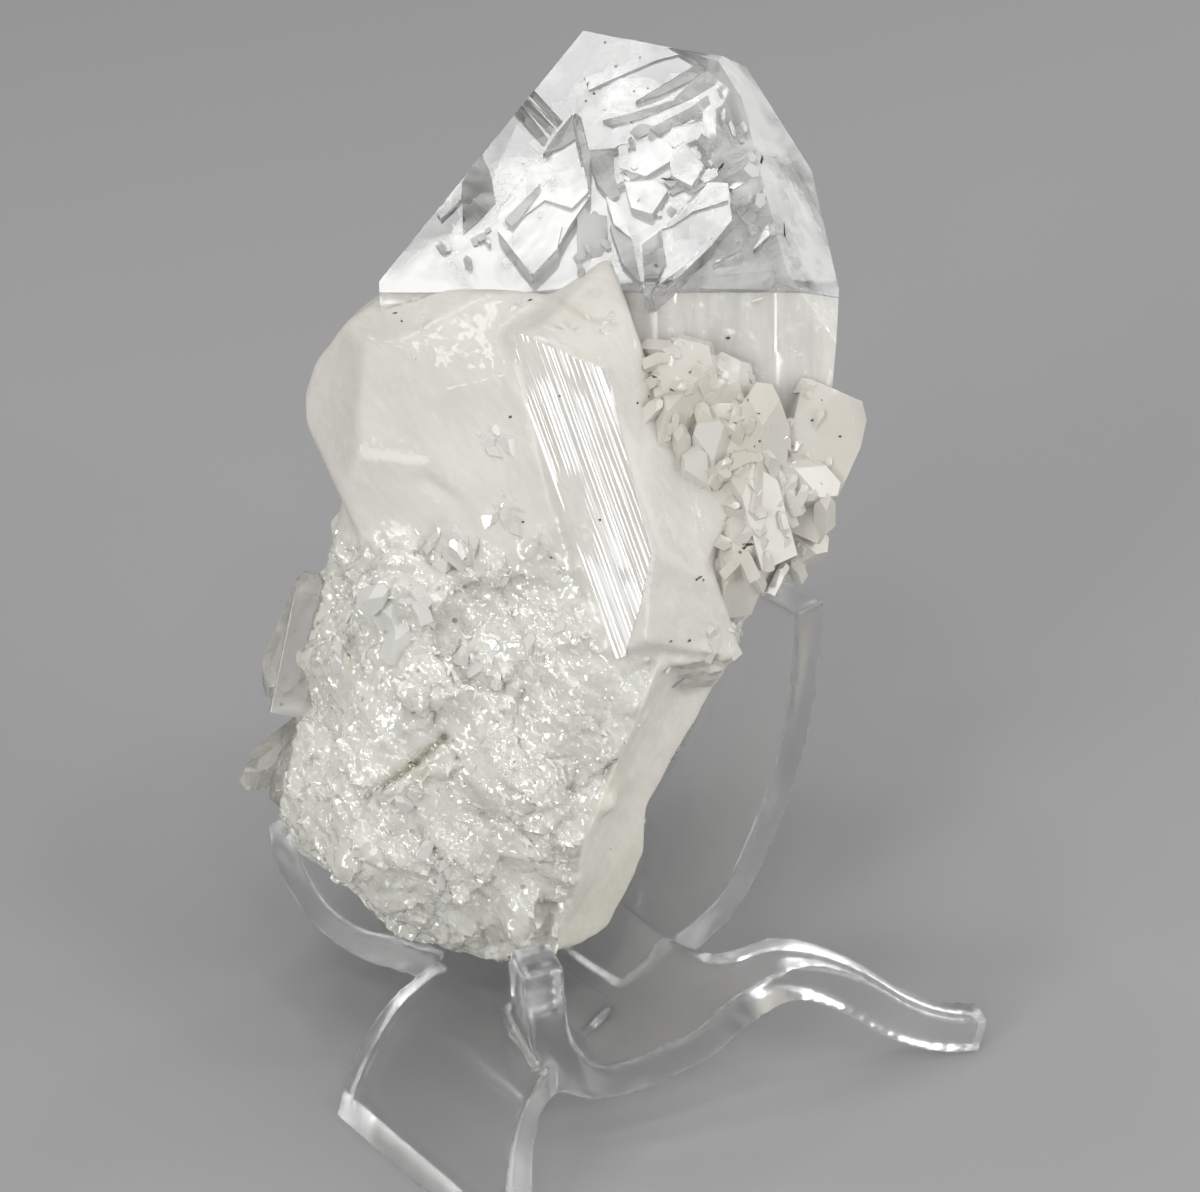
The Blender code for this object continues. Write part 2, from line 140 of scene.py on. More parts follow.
def crystal(top, width, depth, length, cap, lean, nod, twist):
    """Prism with a steep pyramid: top is the middle of its flat end, lean is clockwise in the
    picture, nod is towards the viewer, twist is about its own axis."""
    bm = bmesh.new()
    bmesh.ops.create_cube(bm, size=1)
    bmesh.ops.scale(bm, vec=(width, length, depth), verts=bm.verts)
    bmesh.ops.translate(bm, vec=(0, -length / 2, 0), verts=bm.verts)
    for side in range(4):
        normal = facing(45 + 90 * side, PYRAMID_SLOPE)
        flat = Vector((normal.x, 0, normal.z)).normalized()
        cut_flat(bm, flat * cap, normal)
    turn = (Matrix.Rotation(math.radians(-lean), 4, "Z") @ Matrix.Rotation(math.radians(nod), 4, "X")
            @ Matrix.Rotation(math.radians(twist), 4, "Y"))
    bmesh.ops.transform(bm, matrix=Matrix.Translation(top) @ turn, verts=bm.verts)
    return faced_out(bm)


def chunk(centre, size, seed, corners=16, rough=0.86):
    """Broken lump: the hull of a few points scattered over an ellipsoid."""
    scatter = random.Random(seed)
    bm = bmesh.new()
    for _ in range(corners):
        way = Vector([scatter.gauss(0, 1) for _ in range(3)]).normalized()
        reach = scatter.uniform(rough, 1)
        bm.verts.new([c + s * w * reach / 2 for c, s, w in zip(centre, size, way)])
    bmesh.ops.convex_hull(bm, input=bm.verts[:])
    loose = [v for v in bm.verts if not v.link_faces]
    bmesh.ops.delete(bm, geom=loose, context="VERTS")
    return faced_out(bm)


def plate(outline, point, normal, rise, depth):
    """Prism standing on a plane: its outline is in pixels, its top lies so far above the plane."""
    normal = Vector(normal)
    top = Vector(point) + normal * rise
    bm = bmesh.new()
    upper = [bm.verts.new(on_plane(px, py, top, normal)) for px, py in outline]
    lower = [bm.verts.new(v.co - normal * (rise + depth)) for v in upper]
    bm.faces.new(upper)
    bm.faces.new(lower[::-1])
    for i in range(len(upper)):
        j = (i + 1) % len(upper)
        bm.faces.new((upper[i], lower[i], lower[j], upper[j]))
    return faced_out(bm)


def striate(bm, normal, along, pitch, height, seed, sections=10):
    """Fine ridges on the face that looks along normal: it is cut into strips that run along a
    direction; narrow ones slope one way and the wider ones between them slope back."""
    scatter = random.Random(seed)
    tag = bm.faces.layers.int.new("ridged")
    bm.faces.ensure_lookup_table()
    bm.normal_update()
    normal = Vector(normal).normalized()
    face = max(bm.faces, key=lambda f: (f.normal.dot(normal) > 0.98) * f.calc_area())
    normal = face.normal.copy()
    along = Vector(along)
    along = (along - normal * along.dot(normal)).normalized()
    across = normal.cross(along).normalized()
    centre = face.calc_center_median()
    reach = [(v.co - centre).dot(across) for v in face.verts]
    length = [(v.co - centre).dot(along) for v in face.verts]
    face[tag] = 1
    stops = []
    s = min(reach) + pitch * 0.5
    while s < max(reach) - pitch:
        narrow = pitch * scatter.uniform(0.2, 0.45)
        stops += [s, s + narrow]
        s += narrow + pitch * scatter.uniform(0.3, 1.1)
    span = max(length) - min(length)
    crossings = [min(length) + span * (k + 0.5) / sections for k in range(sections)]
    for direction, places in ((across, stops), (along, crossings)):
        for place in places:
            faces = [f for f in bm.faces if f[tag] == 1]
            edges = list({e for f in faces for e in f.edges})
            verts = list({v for f in faces for v in f.verts})
            bmesh.ops.bisect_plane(bm, geom=verts + edges + faces, dist=1e-5,
                                   plane_co=centre + direction * place, plane_no=direction)
    levels = [scatter.uniform(0.3, 1) * (0.5 if k % 2 == 0 else -0.5) for k in range(len(stops))]
    done = set()
    for f in bm.faces:
        if f[tag] != 1:
            continue
        for v in f.verts:
            if v in done:
                continue
            done.add(v)
            s = (v.co - centre).dot(across)
            t = (v.co - centre).dot(along)
            near = min(range(len(stops)), key=lambda k: abs(stops[k] - s))
            if abs(stops[near] - s) > 1e-3:
                continue
            swell = noise.noise(Vector((near * 3.1, t * 0.07, seed))) * 0.9
            v.co += normal * height * (levels[near] * (1 + swell) - 0.5)
    return bm


def merge(pieces):
    """Put several closed meshes into one."""
    whole = bmesh.new()
    for bm in pieces:
        keep = bpy.data.meshes.new("part")
        bm.to_mesh(keep)
        bm.free()
        whole.from_mesh(keep)
        bpy.data.meshes.remove(keep)
    return whole


def new_object(name, bm, placing=PLACING):
    """Object in metres from a mesh in millimetres."""
    bm.transform(placing)
    mesh = bpy.data.meshes.new(name)
    bm.to_mesh(mesh)
    bm.free()
    piece = bpy.data.objects.new(name, mesh)
    link(piece)
    return piece


def shade(piece, angle):
    """Smooth shading that leaves edges sharper than the angle crisp."""
    mesh = piece.data
    for polygon in mesh.polygons:
        polygon.use_smooth = True
    mesh.set_sharp_from_angle(angle=math.radians(angle))


def apply_modifiers(piece):
    """Turn the evaluated mesh into the object's own."""
    bpy.context.view_layer.update()
    evaluated = piece.evaluated_get(bpy.context.evaluated_depsgraph_get())
    mesh = bpy.data.meshes.new_from_object(evaluated)
    old = piece.data
    piece.modifiers.clear()
    piece.data = mesh
    bpy.data.meshes.remove(old)


def union(name, pieces):
    """Join closed meshes into one solid with the exact solver."""
    group = bpy.data.collections.new(name + "_parts")
    bpy.context.scene.collection.children.link(group)
    first, *others = [new_object(f"{name}_part_{index}", bm) for index, bm in enumerate(pieces)]
    for piece in others:
        bpy.context.scene.collection.objects.unlink(piece)
        group.objects.link(piece)
    join = first.modifiers.new("join", "BOOLEAN")
    join.operation = "UNION"
    join.solver = "EXACT"
    join.operand_type = "COLLECTION"
    join.collection = group
    apply_modifiers(first)
    for piece in others:
        bpy.data.objects.remove(piece)
    bpy.data.collections.remove(group)
    first.name = name
    first.data.name = name
    weld(first.data, WELD)
    return first


def weld(mesh, distance):
    """Merge doubled points and clear needles."""
    with opened(mesh) as bm:
        bmesh.ops.remove_doubles(bm, verts=bm.verts, dist=distance)
        bmesh.ops.dissolve_degenerate(bm, edges=bm.edges, dist=distance)
        bmesh.ops.dissolve_limit(bm, angle_limit=math.radians(0.2), verts=bm.verts, edges=bm.edges)


def bevel(piece, width, segments=2, angle=22):
    """Narrow rounded edges, in millimetres."""
    rounding = piece.modifiers.new("edges", "BEVEL")
    rounding.width = width * MM
    rounding.segments = segments
    rounding.limit_method = "ANGLE"
    rounding.angle_limit = math.radians(angle)
    rounding.use_clamp_overlap = True
    apply_modifiers(piece)
    return piece


# Materials

CRYSTAL_IOR = 1.535
ACRYLIC_IOR = 1.49
GRAIN_BROWN = (0.24, 0.18, 0.11)
STAIN_BROWN = (0.40, 0.34, 0.22)

# Direction in which the frosted stone's broken steps run
BREAKS = (0.62, -0.78, 0)


class Surface:
    """Material in the making: its nodes, its shader and its coordinates, which are metres."""

    def __init__(self, name):
        self.material = bpy.data.materials.new(name)
        self.material.use_nodes = True
        self.tree = self.material.node_tree
        self.shader = self.tree.nodes["Principled BSDF"]
        self.place = self.node("TexCoord").outputs["Object"]

    def fill(self, socket, value):
        """Link or set a socket; a colour is three numbers, or one for a grey."""
        if isinstance(value, bpy.types.NodeSocket):
            self.tree.links.new(value, socket)
        elif socket.type == "RGBA":
            socket.default_value = (*value, 1) if isinstance(value, tuple) else (value, value, value, 1)
        else:
            socket.default_value = value

    def node(self, kind, **values):
        """New node with its settings and what its sockets hold."""
        node = self.tree.nodes.new("ShaderNode" + kind)
        for key, value in values.items():
            if key in node.inputs:
                self.fill(node.inputs[key], value)
            else:
                setattr(node, key, value)
        return node

    def put(self, values):
        """Fill the shader's own sockets."""
        for key, value in values.items():
            self.fill(self.shader.inputs[key], value)

    def stretched(self, along, out, factor):
        """Coordinates in which patterns run long in one direction of the cluster's frame."""
        turn = PLACING.to_3x3()
        run = (turn @ Vector(along)).normalized()
        side = run.cross(turn @ Vector(out)).normalized()
        axes = Matrix((side, run.cross(side), run)).transposed()
        return self.node("Mapping", vector_type="TEXTURE", Vector=self.place,
                         Rotation=axes.to_euler(), Scale=(1, 1, factor)).outputs["Vector"]

    def noise(self, scale, detail=4, roughness=0.55, distortion=0, place=None):
        return self.node("TexNoise", Vector=self.place if place is None else place, Scale=scale,
                         Detail=detail, Roughness=roughness, Distortion=distortion).outputs["Fac"]

    def cells(self, scale):
        return self.node("TexVoronoi", Vector=self.place, Scale=scale)

    def attribute(self, name):
        return self.node("Attribute", attribute_name=name).outputs["Fac"]

    def ramp(self, value, stops):
        """Colour ramp: stops are (position, colour or grey)."""
        node = self.node("ValToRGB", Fac=value)
        elements = node.color_ramp.elements
        while len(elements) < len(stops):
            elements.new(0.5)
        for element, (position, tone) in zip(elements, stops):
            element.position = position
            element.color = (*tone, 1) if isinstance(tone, tuple) else (tone, tone, tone, 1)
        return node.outputs["Color"]

    def mix(self, factor, a, b, mode="MIX"):
        node = self.node("Mix", data_type="RGBA", blend_type=mode)
        for index, value in ((0, factor), (6, a), (7, b)):
            self.fill(node.inputs[index], value)
        return node.outputs[2]

    def times(self, a, b):
        return self.mix(1, a, b, "MULTIPLY")

    def bump(self, height, strength, distance, **below):
        return self.node("Bump", Height=height, Strength=strength, Distance=distance,
                         **below).outputs["Normal"]

    def vector(self, operation, *values):
        node = self.node("VectorMath", operation=operation)
        for socket, value in zip(node.inputs, values):
            self.fill(socket, value)
        return node.outputs["Vector"]

    def glitter(self, cells, amount, mask=None):
        """Normals of tiny flat facets: every cell leans its own way."""
        if mask is not None:
            strength = self.node("Math", operation="MULTIPLY")
            self.fill(strength.inputs[0], mask)
            self.fill(strength.inputs[1], amount)
            amount = strength.outputs["Value"]
        lean = self.vector("SUBTRACT", cells.outputs["Color"], (0.5, 0.5, 0.5))
        lean = self.node("VectorMath", operation="SCALE", Vector=lean, Scale=amount).outputs["Vector"]
        normal = self.node("NewGeometry").outputs["Normal"]
        return self.vector("NORMALIZE", self.vector("ADD", lean, normal))

    def specks(self, tone, scale, strength):
        """Scattered dark grains over a colour."""
        dots = self.ramp(self.cells(scale).outputs["Distance"], [(0, 1), (0.08, 1), (0.12, 0)])
        rare = self.ramp(self.noise(scale * 0.25, 2), [(0.60, 0), (0.65, strength)])
        return self.mix(self.times(dots, rare), tone, GRAIN_BROWN)


def glassy_material(name, colour, roughness, clarity, speck):
    """Clear crystal with hazy patches, faint growth relief and tiny specks."""
    s = Surface(name)
    veil = s.noise(95, 3, 0.6, 0.6)
    haze = s.ramp(s.noise(130, 2, 0.6), [(0.42, colour), (0.72, tuple(c * 0.93 for c in colour))])
    s.put({"Base Color": s.specks(haze, 480, speck),
           "IOR": CRYSTAL_IOR,
           "Roughness": roughness,
           "Transmission Weight": s.ramp(veil, [(0.40, clarity[0]), (0.60, clarity[1])]),
           "Normal": s.bump(s.noise(260, 2, 0.5), 0.06, 0.0004)})
    return s.material


def milky_material(name, dark, pale, roughness, clear=0, speck=0, coat=0, sparkle=0, spread=0,
                   specular=0.5, grain=None):
    """Milky crystal with clouds, white flecks and dark grains.  It may be partly clear, spread
    light inside itself, have a glittering coat, and show fine lines along its grain."""
    s = Surface(name)
    clouds = s.ramp(s.noise(70, 3), [(0.36, dark), (0.64, pale)])
    flecks = s.ramp(s.noise(1100, 2, 0.6), [(0.62, 0), (0.72, 0.30)])
    tone = s.mix(flecks, clouds, (0.97, 0.97, 0.95))
    if grain:
        run = s.stretched(grain, (0, 0, 1), 9)
        lines = s.ramp(s.noise(620, 4, 0.65, place=run), [(0.36, 0.90), (0.62, 1.05)])
        tone = s.times(tone, lines)
    if speck:
        tone = s.specks(tone, 330, speck)
    if coat:
        s.put({"Coat Normal": s.glitter(s.cells(1400), sparkle)})
    s.shader.subsurface_method = "BURLEY"
    s.put({"Base Color": tone,
           "IOR": CRYSTAL_IOR,
           "Roughness": s.ramp(s.noise(160, 1), [(0.3, roughness * 0.75), (0.7, roughness * 1.25)]),
           "Transmission Weight": clear,
           "Specular IOR Level": specular,
           "Subsurface Weight": spread,
           "Subsurface Radius": (1, 1, 0.94),
           "Subsurface Scale": 0.003,
           "Coat Weight": coat,
           "Coat Roughness": 0.1,
           "Normal": s.bump(s.noise(120, 2, 0.5), 0.15, 0.0005)})
    return s.material


# Crown

# Box that the large crystal is cut from, and its front, back and right faces
CROWN_CENTRE = (5.4, 66, 0)
CROWN_SIZE = (52, 72, 40)
FRONT_POINT = (0, TOP_SHOULDER, TOP_FRONT)
FRONT_TURN = -3
FRONT_TIP = 27
BACK_POINT = (0, TOP_SHOULDER, TOP_BACK)
RIGHT_POINT = (20, 94, -1)
RIGHT_TURN = 52
RIGHT_TIP = 26

# Faces of the large crystal, and of its cloudy heart: a point on each, its turn and its tip
CROWN_FACES = [
    ((-18.3, 71.4, 0), -90, 36.5), ((2.4, 99.4, 0), 90, 77), ((20.5, 95.5, 0), 90, 31),
    ((26, 86.6, 0), 86, 12), ((29, 69.9, 0), 88, -5), ((-18.3, 71.4, 0), -90, -4),
    (FRONT_POINT, FRONT_TURN, FRONT_TIP), (FRONT_POINT, 0, -5), (BACK_POINT, 180, 24),
    (BACK_POINT, 180, -4), (RIGHT_POINT, RIGHT_TURN, RIGHT_TIP), ((18, 94, -5), 128, 27),
    ((1, 98.6, -6), 228, 30)]
CORE_FACES = [
    ((-13, 73, 0), -90, 38), ((4, 95.6, 0), 90, 77), ((18, 93, 0), 90, 31),
    ((23.4, 84.6, 0), 86, 12), ((26.6, 69.9, 0), 88, -5), ((-12.6, 71.4, 0), -90, -4),
    ((0, TOP_SHOULDER, TOP_FRONT - 5), -3, 27), ((0, TOP_SHOULDER, TOP_BACK + 2), 180, 24),
    ((17, 92, -3), 52, 26), ((15, 92, -7), 128, 27), ((3, 94.6, -6), 228, 30),
    ((0, TOP_SHOULDER - 0.1, 0), 0, -90)]

# Faces that end the crown and its milky base at the cleavage line, and the base below
CLEAVED_ABOVE = [((0, TOP_SHOULDER - 0.3, 0), 0, -90)]
BASE_FACES = [
    ((0, TOP_SHOULDER - 0.35, 0), 0, 90), ((19.3, 37, 4), 88, -38), ((24, 44, 8), 60, -34),
    ((15, 44, -4), 134, -38)]

# Low crystals and growth steps on the crown's front: outline in the photograph's pixels, height
# above the face, and how far each turns to the right and tips up from it
CROWN_PLATES = {
    "summit_step": ([(589, 90), (583, 74), (600, 40), (650, 38), (705, 48), (657, 60), (626, 73)], 0.3,
        0.4, 0),
    "long_sliver": ([(636, 101), (690, 68), (700, 60), (714, 62), (692, 80), (660, 95)], 0.3, 5, 0),
    "lower_step": ([(603, 120), (633, 113), (673, 100), (700, 73), (722, 66), (716, 84), (690, 99),
        (642, 118), (612, 125)], 0.22, 3, -2),
    "fine_step": ([(650, 128), (690, 108), (716, 88), (720, 96), (696, 116), (660, 134)], 0.16, 4, 1),
    "rim_band": ([(585, 29), (600, 26), (722, 51), (752, 64), (750, 72), (716, 60), (640, 41), (594, 36)],
        0.1, 2, 30),
    "rim_frost": ([(724, 58), (754, 65), (752, 75), (727, 71)], 0.35, 10, 12),
    "left_step_a": ([(512, 108), (519, 101), (549, 140), (544, 147)], 0.28, 9, 0),
    "left_step_b": ([(526, 92), (531, 87), (565, 124), (560, 130)], 0.24, 8, 0),
    "left_step_c": ([(519, 99), (523, 94), (556, 130), (551, 136)], 0.16, 6, 1),
    "left_facet": ([(462, 182), (481, 153), (490, 172), (496, 203), (478, 222), (463, 234)], 0.3, 6, -3),
    "left_glint": ([(437, 212), (462, 181), (461, 199), (441, 219)], 0.5, -1, 0),
    "blade": ([(572, 112), (580, 117), (589, 150), (590, 196), (570, 225), (556, 250), (532, 275),
        (522, 262), (498, 231), (500, 206), (540, 153), (553, 133)], 1.4, 2, 0.5),
    "blade_tip": ([(572, 114), (579, 122), (581, 136), (560, 148), (543, 154), (556, 134)], 1.62, 7, 0),
    "blade_white": ([(536, 190), (560, 172), (587, 166), (588, 192), (572, 208), (545, 200), (507, 229),
        (502, 222)], 1.75, -1, 0),
    "blade_grey": ([(505, 219), (540, 184), (545, 188), (512, 226)], 1.95, 8, 2),
    "blade_foot": ([(523, 260), (538, 240), (562, 226), (557, 249), (533, 274)], 1.7, -2, 0),
    "blade_side": ([(575, 113), (581, 117), (590, 152), (589, 188), (583, 160), (577, 130)], 1.9, 24, 0),
    "grey_facet": ([(587, 150), (613, 148), (615, 177), (620, 195), (611, 200), (597, 183)], 0.7, 8, -3),
    "white_splinter": ([(606, 196), (620, 206), (631, 238), (614, 224)], 1.3, -1, 0),
    "low_facet_a": ([(610, 225), (632, 240), (641, 285), (622, 262)], 0.9, 6, -3),
    "low_facet_b": ([(577, 212), (607, 216), (609, 256), (578, 258)], 0.4, 10, -6),
    "centre_a": ([(618, 146), (664, 138), (678, 156), (646, 176), (620, 168)], 0.6, -3, 1),
    "centre_b": ([(684, 141), (704, 165), (692, 186), (672, 176), (668, 152)], 0.9, -5, 0),
    "centre_c": ([(624, 182), (655, 180), (668, 190), (652, 214), (632, 208)], 0.9, -4, 2),
    "centre_d": ([(655, 150), (672, 128), (700, 122), (706, 136), (680, 146)], 0.5, -3, -1),
    "shield": ([(640, 243), (660, 228), (700, 193), (708, 182), (728, 183), (732, 220), (713, 243),
        (682, 275), (650, 297), (643, 287)], 1.4, -2.5, 0),
    "shield_left": ([(642, 244), (661, 230), (666, 262), (651, 292), (645, 286)], 1.7, 4, 3),
    "shield_top": ([(662, 229), (700, 195), (709, 185), (726, 186), (728, 200), (692, 212), (672, 226)],
        1.75, -5, 0),
    "shield_edge": ([(655, 288), (684, 266), (712, 236), (713, 243), (682, 274), (651, 296)], 1.8, -6,
        -1),
    "right_glint": ([(753, 250), (773, 213), (778, 227), (757, 247)], 0.9, -6, 0),
    "right_plate": ([(777, 220), (793, 208), (803, 223), (810, 250), (793, 257)], 1, -3, 3),
    "right_step": ([(728, 168), (748, 160), (762, 196), (752, 232), (736, 212)], 0.5, -1, -3),
    "far_step": ([(764, 150), (782, 146), (800, 186), (790, 204), (772, 190)], 0.6, 2, 2),
}


# Small broken steps: their box of pixels, how many, seed, lengths in pixels and spread of tilt
FRONT_STEPS = [
    ((618, 112, 742, 232), 30, 11, (7, 22), 3.6), ((560, 200, 640, 280), 8, 13, (6, 16), 6),
    ((440, 190, 500, 270), 10, 14, (6, 16), 5), ((690, 200, 800, 280), 14, 15, (6, 20), 5)]
RIGHT_STEPS = ((742, 84, 800, 250), 30, 12, (6, 20), 7)

# Slopes of the small steps in the picture, and how deep every plate is rooted below the face
FRONT_SLOPES = (-29, -29, 52, 68)
RIGHT_SLOPES = (62, 70, 100, 118)
PLATE_ROOT = 3


def scattered_plates(region, count, seed, sizes, tilt, slopes):
    """Small broken growth steps: short polygons scattered in a box of pixels."""
    scatter = random.Random(seed)
    rows = []
    for _ in range(count):
        middle = Vector((scatter.uniform(*region[::2]), scatter.uniform(*region[1::2])))
        long = scatter.uniform(*sizes)
        wide = long * scatter.uniform(0.25, 0.8)
        slope = math.radians(scatter.choice(slopes) + scatter.uniform(-7, 7))
        run = Vector((math.cos(slope), math.sin(slope)))
        side = Vector((-run.y, run.x))
        outline = [middle + run * (a * long / 2) + side * (b * wide / 2)
                   for a, b in ((-1, -0.5), (0.2, -1), (1, -0.2), (0.7, 0.8), (-0.7, 0.9))]
        rows.append(([tuple(c) for c in outline], scatter.uniform(0.1, 0.9),
                     scatter.gauss(-1, tilt), scatter.gauss(0, tilt)))
    return rows


def stand_on(rows, face_point, face_turn, face_tip):
    """Plates whose tops are turned and tipped a little from the face that they stand on."""
    pieces = []
    for outline, rise, turn, tip in rows:
        middle = [sum(axis) / len(outline) for axis in zip(*outline)]
        point = on_plane(*middle, face_point, facing(face_turn, face_tip))
        normal = facing(face_turn + turn, face_tip + tip)
        pieces.append(plate(outline, point, normal, rise, PLATE_ROOT))
    return pieces


def crown():
    """Glassy crown: the large crystal above its cleavage line and all that grew on its front."""
    pieces = [block(CROWN_CENTRE, CROWN_SIZE, CROWN_FACES + CLEAVED_ABOVE)]
    rows = list(CROWN_PLATES.values())
    for steps in FRONT_STEPS:
        rows += scattered_plates(*steps, FRONT_SLOPES)
    pieces += stand_on(rows, FRONT_POINT, FRONT_TURN, FRONT_TIP)
    rows = scattered_plates(*RIGHT_STEPS, RIGHT_SLOPES)
    pieces += stand_on(rows, RIGHT_POINT, RIGHT_TURN, RIGHT_TIP)
    solid = union("glassy_crown", pieces)
    cut_outside(solid, CROWN_FACES)
    return bevel(solid, 0.06, 1, 14)


def crown_core():
    """Cloudy broken heart of the crown, seen through its clear outer growth."""
    piece = new_object("crown_core", block((5.4, 80, 0), (52, 40, 40), CORE_FACES))
    remesh(piece, CORE_SKIN, 1)
    points, normals = local_points(piece.data)
    fade = np.clip((points[:, 1] - TOP_SHOULDER - 0.5) / 3, 0, 1)
    height = (shards(points, 6, 31) * 0.5 + shards(points, 2.6, 32) * 0.4 - 1) * fade
    displace(piece.data, points, normals, height)
    return piece


def cut_outside(piece, faces):
    """Trim what stands out beyond the crystal's side and back faces."""
    with opened(piece.data) as bm:
        bm.transform(PLACING.inverted())
        for point, turn, tip in faces:
            if abs(turn) > 40 or tip > 60:
                cut_flat(bm, Vector(point) + facing(turn, tip) * 0.001, facing(turn, tip))
        bmesh.ops.remove_doubles(bm, verts=bm.verts, dist=1e-3)
        faced_out(bm).transform(PLACING)


def crown_base():
    """Milky lower part of the same crystal, below the cleavage line."""
    lower = block(CROWN_CENTRE, CROWN_SIZE, CROWN_FACES + BASE_FACES)
    striate(lower, facing(0, -5), (0, 1, 0), 1.3, 0.09, 5)
    piece = bevel(new_object("crown_base", lower), 0.25, 2)
    shade(piece, 20)
    return piece


# Striated crystal

# Its face, the direction of its ridges, and its upper and lower end and outline in pixels
STRIATED_POINT = (4, 62.6, 19.5)
STRIATED_TURN = -24
STRIATED_TIP = -7
RIDGES = (0.34, -0.93, 0.03)
STRIATED_ENDS = ((514, 371), (617, 659))
STRIATED_OUTLINE = [
    (518, 332), (545, 345), (575, 358), (604, 369), (622, 440), (638, 505), (651, 553), (640, 606),
    (624, 657), (616, 659), (590, 585), (560, 500), (535, 430), (514, 371)]


def striated_face():
    """Ridged prism face of the long crystal in the middle, as a thin slab set in the body."""
    normal = facing(STRIATED_TURN, STRIATED_TIP)
    bm = plate(STRIATED_OUTLINE, STRIATED_POINT, normal, -0.12, 2.5)
    upper, lower = [on_plane(*end, STRIATED_POINT, normal) for end in STRIATED_ENDS]
    striate(bm, normal, lower - upper, 0.42, 0.03, 3, 14)
    return new_object("striated_face", bm)


# Fused milky and frosted body

# Faces of the body's blocks: a point on each, its turn and its tip
STRIATED_FACES = [
    (STRIATED_POINT, STRIATED_TURN, STRIATED_TIP), (STRIATED_POINT, 40, 12),
    (STRIATED_POINT, 8, 36), ((0.8, 70.5, 13), -40, 50), ((-4.5, 62.5, 16), -90, -17),
    ((9.4, 43.3, 20), 30, -12), ((11.5, 33, 14), 14, -64), ((8.8, 63.8, 10), 90, 18),
    ((16.8, 31, 0), 90, -29)]
MILKY_FACES = [
    ((-18.6, 70.9, 5), -72, 56), ((-22.5, 67, 5), -86, 40), ((-25.4, 63.4, 5), -86, 18),
    ((-26.4, 60.2, 5), -90, -6), ((-25.9, 56.5, 5), -88, -25), ((0.5, 62.4, 10), 90, 17),
    ((-3, 60, 15.4), 12, 0), ((-14, 71.8, 9), 4, 70), ((-12, 69, 13), -14, 44),
    ((-10, 64, 15.6), 6, 20), ((-16, 58, 16.4), -12, 3), ((-22, 60, 13), -50, 4),
    ((-15, 50, 16), -14, -16)]
FROSTED_FACES = [
    ((-27.5, 27, 2), -88, 12), ((-29.5, 18, 2), -86, -30), ((-22, 9, 2), -80, -44),
    ((-12, 2.6, 1), -60, -67), ((12, 25, 0), 90, -29), ((3.3, 2.5, 0), 88, -72),
    ((6, 16, 6), 70, -24), ((-8, 8, 8), 4, -40), ((-10, 22, 13.5), -2, -8),
    ((-10, 50, 13), -6, 4), ((-22, 28, 10), -46, 4), ((0, 0.4, 4.4), 180, -60),
    ((0, 14, -12), 180, -14), ((-22, 13, -7), -130, -24), ((12.9, 38, -8), 140, 23),
    ((18.4, 38, -3.8), 120, 14)]
FLANK_FACES = [
    ((16.8, 31, 0), 90, -29), ((4.2, 24.4, 13), 52, -22), ((12, 36.5, 10), 10, 60),
    ((6, 24, 14.5), 0, -10), ((0, 12, 0), 0, -88), ((0, 24, -10.6), 180, -20),
    ((12.9, 38, -8), 140, 23), ((18.4, 38, -3.8), 120, 14)]
FOOT_FACES = [
    ((9.2, 17, -4), 90, -3), ((8.9, 12, -4), 90, -25), ((5.3, 4.2, -2), 90, -50),
    ((3.3, 2.6, 0), 60, -84), ((4.2, 24.4, 13), 52, -22), ((4.2, 24.4, 13), -40, -9),
    ((0, 0.4, 4.4), 180, -60), ((0, 12, -11), 180, -14)]
BODY_BLOCKS = [
    ((6, 52, 8), (34, 44, 28), STRIATED_FACES),
    ((-12, 57, 4), (34, 32, 28), MILKY_FACES),
    ((-6, 28, 2), (54, 62, 34), FROSTED_FACES),
    ((7, 26, 0), (26, 30, 32), FLANK_FACES),
    ((4, 13, 0), (18, 26, 32), FOOT_FACES)]

# Broken lumps on the front, in the joints between blocks and on the back: middle and size
LUMPS = [
    ((-14, 40, 11.5), (17, 15, 12)), ((-20, 33, 9), (14, 15, 13)),
    ((-6, 33, 13.5), (16, 16, 12)), ((-17, 23, 11), (16, 15, 12)),
    ((-24, 22, 5), (11, 15, 12)), ((-3, 22, 12.5), (15, 14, 12)),
    ((-10, 14, 9), (15, 15, 12)), ((-17, 13, 6), (12, 13, 12)),
    ((-23, 14, 3), (11, 11, 11)), ((-4, 8.5, 6), (9, 13, 10)),
    ((2, 29, 12), (13, 12, 10)), ((-11, 47, 12), (15, 12, 11)),
    ((-19, 45, 7), (11, 14, 12)), ((1.5, 36, 13.5), (12, 11, 10)),
    ((-12, 31, 14), (12, 10, 9)), ((-10, 6, 4), (11, 10, 9))]
JOINTS = [
    ((3.5, 35, 14), (9, 8, 6)), ((7, 32.5, 13.5), (8, 6, 6)),
    ((11, 32.5, 12.5), (8, 5, 6)), ((-2, 44, 14), (9, 9, 6)),
    ((-6, 52, 13.5), (10, 9, 6)), ((3.4, 20.5, 11), (8, 10, 6)),
    ((5.8, 27, 11.6), (8, 8, 6)), ((0.8, 12.5, 7.6), (7, 9, 6))]
BACKS = [
    ((-14, 52, -9), (20, 18, 10)), ((-20, 38, -7), (14, 18, 12)),
    ((-8, 38, -11), (17, 18, 9)), ((2, 46, -14), (16, 16, 9)),
    ((-16, 25, -7), (16, 15, 11)), ((-2, 26, -10), (15, 16, 8)),
    ((12, 60, -15), (16, 13, 8))]


